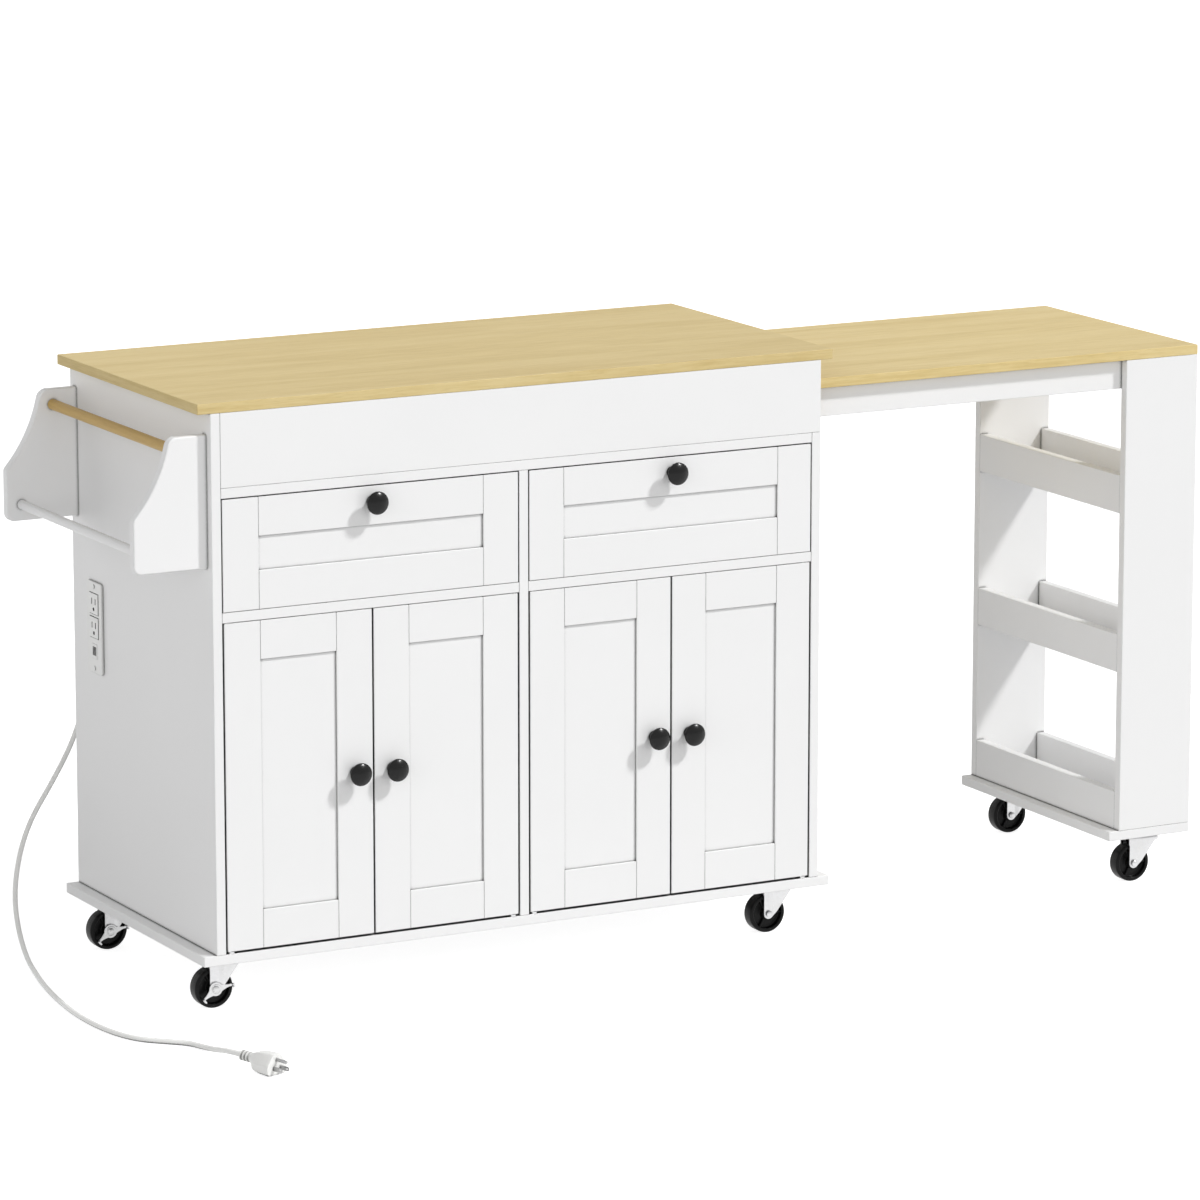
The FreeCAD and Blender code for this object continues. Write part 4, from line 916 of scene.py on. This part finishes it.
print("gaps darken within", GAP_REACH * 1000, "mm")

# %% [markdown]
# White boards are chipboard or fibreboard under a matte white foil. Close up the foil has a fine
# pebbled relief, and its gloss and whiteness drift a little over a board. The thin back panel
# is the same, greyer and rougher.

# %% White board finishes
WHITE_DRIFT = 0.012


def grey(value):
    """Colour without a hue."""
    return (value, value, value)


def white_board(name, white, gloss):
    """Matte white: slow drift of tone over decimetres, pebbles of about a millimetre and a half."""
    material, tree, shader = new_finish(name)
    drift = noise(tree, place(tree), scale=5.0, detail=4.0)
    pebbles = noise(tree, place(tree), scale=650.0, detail=2.0)
    colour = tone(tree, drift, (0.3, grey(white - WHITE_DRIFT)), (0.7, grey(white)))
    # Painted shade: the foil's colour darkens in gaps and recesses, where shade falls.
    tree.links.new(painted_gap_shade(tree, colour), shader.inputs["Base Color"])
    rough = between(tree, pebbles, gloss - 0.04, gloss + 0.05)
    tree.links.new(rough, shader.inputs["Roughness"])
    relief(tree, shader, pebbles, strength=0.10, depth=0.0002)
    return material


FINISHES["white_board"] = white_board("matte_white_foil", 0.875, 0.46)
FINISHES["white_hardboard"] = white_board("white_faced_hardboard", 0.83, 0.60)
print("so far:", ", ".join(FINISHES))

# %% [markdown]
# The worktop and the leaf carry a light wood print with straight, quiet grain: broad bands of tone,
# fine fibres and short pores, all stretched along the board. Their end edges have a strip of the
# same print that runs along the edge, so the grain's direction is chosen by where the surface
# faces.

# %% Lay the grain
END_FACING = 0.8


def grain_vector(tree, along):
    """Place with its first coordinate along the grain. On a board along X, the faces that look
    along X have the grain along Y instead."""
    x, y, z = add(tree, "SeparateXYZ", {"Vector": place(tree)}).outputs
    turned_place = add(tree, "CombineXYZ", {"X": y, "Y": x, "Z": z}).outputs["Vector"]
    if along == "Y":
        return turned_place
    normal = add(tree, "TexCoord").outputs["Normal"]
    facing = add(tree, "SeparateXYZ", {"Vector": normal}).outputs["X"]
    size = add(tree, "Math", {0: facing}, operation="ABSOLUTE").outputs[0]
    at_end = add(tree, "Math", {0: size, 1: END_FACING}, operation="GREATER_THAN").outputs[0]
    mix = add(tree, "Mix", {"Factor": at_end}, data_type="VECTOR")
    tree.links.new(place(tree), mix.inputs["A"])
    tree.links.new(turned_place, mix.inputs["B"])
    return mix.outputs["Result"]


print("an end edge faces X by more than", END_FACING)

# %% [markdown]
# The print's colour mixes two noises, broad bands and fine fibres, and a ramp turns the mix into
# dark and light wood. Pores are small darker pits. Worktop, leaf, towel bar and the leaf's guides
# differ only in their tones, the way the grain runs and the gloss, so one function makes them all.

# %% Wood finishes
def wood(name, along, dark, mid, light, gloss):
    """Straight grain: bands some centimetres wide, fibres of a few millimetres, pores of under
    one."""
    material, tree, shader = new_finish(name)
    grain = grain_vector(tree, along)
    shader.inputs["Specular IOR Level"].default_value = 0.10
    bands = noise(tree, grain, (2.2, 22, 22), detail=3.0, distortion=0.6)
    fibres = noise(tree, grain, (14, 210, 210), detail=4.0, roughness=0.65, distortion=0.3)
    pores = noise(tree, grain, (40, 900, 900), detail=1.0)
    mixed = add(tree, "Mix", {"Factor": 0.55, "A": bands, "B": fibres}).outputs["Result"]
    colour = tone(tree, mixed, (0.38, dark), (0.5, mid), (0.62, light))
    pit = between(tree, pores, low=0.0, high=0.22, start=0.60, end=0.72)
    pitted = add(tree, "Mix", {"Factor": pit}, data_type="RGBA")
    tree.links.new(colour, pitted.inputs["A"])
    pitted.inputs["B"].default_value = (*(0.7 * channel for channel in dark), 1)
    tree.links.new(pitted.outputs["Result"], shader.inputs["Base Color"])
    tree.links.new(between(tree, fibres, gloss - 0.05, gloss + 0.06), shader.inputs["Roughness"])
    relief(tree, shader, fibres, strength=0.12, depth=0.0003)
    return material


# Dark, middle and light tones
OAK = ((0.625, 0.48, 0.215), (0.685, 0.54, 0.26), (0.725, 0.585, 0.30))
# Painted light: the leaf's tones are the worktop's print made a little lighter, for the light that
# falls on the leaf.
LEAF_OAK_PAINTED_LIGHTER = ((0.68, 0.525, 0.235), (0.745, 0.59, 0.285), (0.785, 0.635, 0.33))
BEECH = ((0.55, 0.365, 0.125), (0.60, 0.41, 0.15), (0.64, 0.45, 0.18))
SOFTWOOD = ((0.58, 0.43, 0.24), (0.70, 0.55, 0.34), (0.78, 0.65, 0.44))
FINISHES["oak_laminate"] = wood("light_oak_print", "X", *OAK, 0.50)
FINISHES["leaf_laminate_painted_lighter"] = wood("light_oak_print_painted_lighter_for_the_leaf", "X", *LEAF_OAK_PAINTED_LIGHTER, 0.50)
FINISHES["beech_dowel"] = wood("lacquered_beech", "Y", *BEECH, 0.40)
FINISHES["raw_batten"] = wood("planed_softwood", "X", *SOFTWOOD, 0.62)
print("so far:", ", ".join(FINISHES))

# %% [markdown]
# Casters and pins are zinc-plated steel: bright, slightly cloudy, with fine rolling marks. The
# plug's prongs are nickel plated, which is darker and smoother, and the drawers' runners are plain
# rolled steel. One tree serves all three, because they differ only in brightness and gloss.

# %% Metal finishes
def zinc(name, bright, gloss):
    """Bright plating with pale clouds and fine marks along X."""
    material, tree, shader = new_finish(name)
    clouds = noise(tree, place(tree), scale=60.0, detail=2.0)
    marks = noise(tree, place(tree), (60, 1400, 1400), detail=2.0)
    pale = (bright, bright, bright + 0.01)
    colour = tone(tree, clouds, (0.3, grey(bright - 0.03)), (0.7, pale))
    tree.links.new(colour, shader.inputs["Base Color"])
    tree.links.new(between(tree, marks, gloss - 0.04, gloss + 0.06), shader.inputs["Roughness"])
    shader.inputs["Metallic"].default_value = 1.0
    relief(tree, shader, marks, strength=0.03, depth=0.0001)
    return material


FINISHES["runner_steel"] = zinc("rolled_runner_steel", 0.66, 0.36)
FINISHES["zinc_steel"] = zinc("bright_zinc", 0.62, 0.30)
FINISHES["prong_nickel"] = zinc("nickel_plated_prongs", 0.40, 0.26)
print("so far:", ", ".join(FINISHES))

# %% [markdown]
# Knobs are powder coated, wheels are moulded black plastic, and the outlet, plug and cord are white
# plastic with a fine satin, brighter on plug and cord. A grain in the gloss and a slight relief
# keep them from looking wet.

# %% Plastic finishes
WHITE, BRIGHT_WHITE = (0.86, 0.86, 0.85), (0.93, 0.93, 0.91)
FINE_GRIT = 2200.0


def moulded(name, colour, gloss, drift, grit, mirror=0.5):
    """Plastic, sheath or powder coat: one colour that drifts a little, a gloss, a grit in points
    per metre and the strength of its reflection."""
    material, tree, shader = new_finish(name)
    shader.inputs["Specular IOR Level"].default_value = mirror
    clouds = noise(tree, place(tree), scale=40.0, detail=3.0)
    grain = noise(tree, place(tree), scale=grit, detail=2.0)
    darker = tuple(channel * (1 - drift) for channel in colour)
    cloudy = tone(tree, clouds, (0.3, darker), (0.7, colour))
    # Painted shade: the colour darkens in gaps, creases and round the knobs' necks, where shade
    # falls.
    tree.links.new(painted_gap_shade(tree, cloudy), shader.inputs["Base Color"])
    tree.links.new(between(tree, grain, gloss - 0.05, gloss + 0.06), shader.inputs["Roughness"])
    relief(tree, shader, grain, strength=0.08, depth=0.0002)
    return material


FINISHES["black_knob"] = moulded("satin_black_powder_coat", grey(0.002), 0.24, 0.25, 1500.0, 0.28)
FINISHES["black_wheel"] = moulded("black_wheel_plastic", grey(0.004), 0.30, 0.25, 900.0, 0.15)
FINISHES["white_plastic"] = moulded("white_satin_plastic", WHITE, 0.38, 0.02, FINE_GRIT)
FINISHES["plug_plastic"] = moulded("bright_white_plug", BRIGHT_WHITE, 0.30, 0.02, FINE_GRIT)
FINISHES["cord_sheath"] = moulded("white_cord_sheath", BRIGHT_WHITE, 0.26, 0.03, 1200.0)
print("so far:", ", ".join(FINISHES))

# %% [markdown]
# The outlet's slots are sunk into its white face, and the deep shade in them is painted black. The
# face and the slots are one node, so its finish turns black by depth: past the mouth of the slots and
# down to their floor.

# %% Outlet finish
PAINTED_SLOT_SHADE = (0.012, 0.012, 0.012, 1)
SOCKET_RIM, SOCKET_FLOOR = 0.15 * MM, 7.5 * MM


def outlet_plastic(name, colour, gloss, mouth, floor):
    """White plastic with painted shade: it turns black between two places along X, the sunk slots
    between mouth and floor, where the deep shade falls."""
    material = moulded(name, colour, gloss, 0.02, FINE_GRIT)
    tree = material.node_tree
    shader = tree.nodes["Principled BSDF"]
    white = shader.inputs["Base Color"].links[0].from_socket
    depth = add(tree, "SeparateXYZ", {"Vector": place(tree)}).outputs["X"]
    inside = add(tree, "Math", {0: depth, 1: mouth}, operation="GREATER_THAN").outputs[0]
    shallow = add(tree, "Math", {0: depth, 1: floor}, operation="LESS_THAN").outputs[0]
    sunk = add(tree, "Math", {0: inside, 1: shallow}, operation="MULTIPLY").outputs[0]
    # Painted shade: the sunk slots are coloured black for the deep shade in them.
    mix = add(tree, "Mix", {"Factor": sunk, "B": PAINTED_SLOT_SHADE}, data_type="RGBA")
    tree.links.new(white, mix.inputs["A"])
    tree.links.new(mix.outputs["Result"], shader.inputs["Base Color"])
    return material


plate_low, plate_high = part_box("outlet_plate")
FINISHES["socket_plastic"] = outlet_plastic(
    "outlet_plastic_with_painted_slot_shade", WHITE, 0.36,
    plate_low.x - SOCKET_RIM, plate_high.x + SOCKET_FLOOR,
)
print("slots are black from", round(plate_low.x - SOCKET_RIM, 5), "along X")

# %% [markdown]
# The imported record names a slot for every node, and each slot has its finish. A few pieces have one
# of their own: the leaf has the worktop's print painted a little lighter, for the light on it, the
# outlet has the deep shade in its slots painted black, and plug, gland and prongs differ from other
# plastic and metal.

# %% Dress every node and piece
OWN_FINISH = {
    "outlet_module": "socket_plastic", "leaf_top": "leaf_laminate_painted_lighter",
    plug.name: "plug_plastic", gland.name: "plug_plastic", prongs.name: "prong_nickel",
}


def dress(piece, material):
    """Gives a piece one material in place of those it had."""
    piece.data.materials.clear()
    piece.data.materials.append(material)


for name, node in nodes.items():
    dress(node, FINISHES[OWN_FINISH.get(name, slot_of[name])])
new_pieces = (cord, plug, prongs, gland, *knobs, *wheels, *forks, *pedals)
for piece in new_pieces:
    dress(piece, FINISHES[OWN_FINISH.get(piece.name, piece["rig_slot"])])
print(len(FINISHES), "finishes on", len(nodes), "nodes and", len(new_pieces), "new pieces")

# %% [markdown]
# ## Floor and light
# The picture has a white ground. The floor is a plain white plane that keeps the island's shadow.
# Stronger lamps would bring it up to white, but they would burn out the white boards too. So it has
# a little light of its own, which only the camera and mirror-like surfaces see.

# %% Lay the floor
FLOOR_SIDE = 60.0
FLOOR_WHITE = 0.62
FLOOR_GLOW = 0.85


def either(tree, first, second):
    """The larger of two values, which for two yes-or-no values means one or the other."""
    return add(tree, "Math", {0: first, 1: second}, operation="MAXIMUM").outputs[0]


def floor_finish():
    """Diffuse white, plus a glow that only the camera and mirror-like surfaces see."""
    material = bpy.data.materials.new("pale_floor")
    material.use_nodes = True
    tree = material.node_tree
    tree.nodes.clear()
    diffuse = add(tree, "BsdfDiffuse", {"Color": (*grey(FLOOR_WHITE), 1)})
    rays = add(tree, "LightPath").outputs
    seen = either(tree, rays["Is Camera Ray"], rays["Is Glossy Ray"])
    strength = add(tree, "Math", {0: seen, 1: FLOOR_GLOW}, operation="MULTIPLY").outputs[0]
    glow = add(tree, "Emission", {"Strength": strength})
    both = add(tree, "AddShader", {0: diffuse.outputs["BSDF"], 1: glow.outputs["Emission"]})
    add(tree, "OutputMaterial", {"Surface": both.outputs["Shader"]})
    return material


half = FLOOR_SIDE / 2
floor_mesh = bpy.data.meshes.new("floor")
floor_mesh.from_pydata(
    [(-half, -half, 0), (half, -half, 0), (half, half, 0), (-half, half, 0)], [], [(0, 1, 2, 3)],
)
floor = link(bpy.data.objects.new("floor", floor_mesh))
dress(floor, floor_finish())
print("floor", FLOOR_SIDE, "m wide")

# %% [markdown]
# Four sun-like lamps light the island. The key light, high at the front right, gives the short
# shadows beside knobs and brackets. Three broad, low fills from the front, the left and the back
# left lift the sides that face away from it. The fills leave no highlight on glossy pieces, so that
# black knobs and wheels stay black.

# %% Hang the lamps
# Strength, then spread, angle from the front towards the right and height, in degrees
LIGHTS = {
    "key_light": (2.15, 6, 47, 45),
    "front_fill": (0.80, 60, 5, 3),
    "left_fill": (0.84, 60, -54, 3),
    "back_fill": (0.90, 60, -150, 3),
}
for name, (strength, spread, from_right, height) in LIGHTS.items():
    lamp = bpy.data.lights.new(name, "SUN")
    lamp.energy = strength
    lamp.angle = math.radians(spread)
    hung = link(bpy.data.objects.new(name, lamp))
    hung.rotation_euler = (math.radians(90 - height), 0, math.radians(from_right))
    hung.visible_glossy = name == "key_light"
print(len(LIGHTS), "lamps:", ", ".join(LIGHTS))

# %% [markdown]
# An even white world fills the rest. The camera, and surfaces that mirror or let light through, see
# it as plain white. The light that it sheds on the boards is much weaker, so that shadows keep
# their depth.

# %% Set the world
WORLD_LIGHT = 0.30

world = bpy.data.worlds.new("studio")
bpy.context.scene.world = world
world.use_nodes = True
world_tree = world.node_tree
world_rays = add(world_tree, "LightPath").outputs
mirror_like = either(world_tree, world_rays["Is Glossy Ray"], world_rays["Is Transmission Ray"])
white_for = either(world_tree, world_rays["Is Camera Ray"], mirror_like)
background = world_tree.nodes["Background"]
background.inputs["Color"].default_value = (1, 1, 1, 1)
world_tree.links.new(
    between(world_tree, white_for, WORLD_LIGHT, 1.0, start=0.0, end=1.0),
    background.inputs["Strength"],
)
bpy.context.scene.view_settings.view_transform = "Standard"
print("world sheds", WORLD_LIGHT, "of the white that it shows")
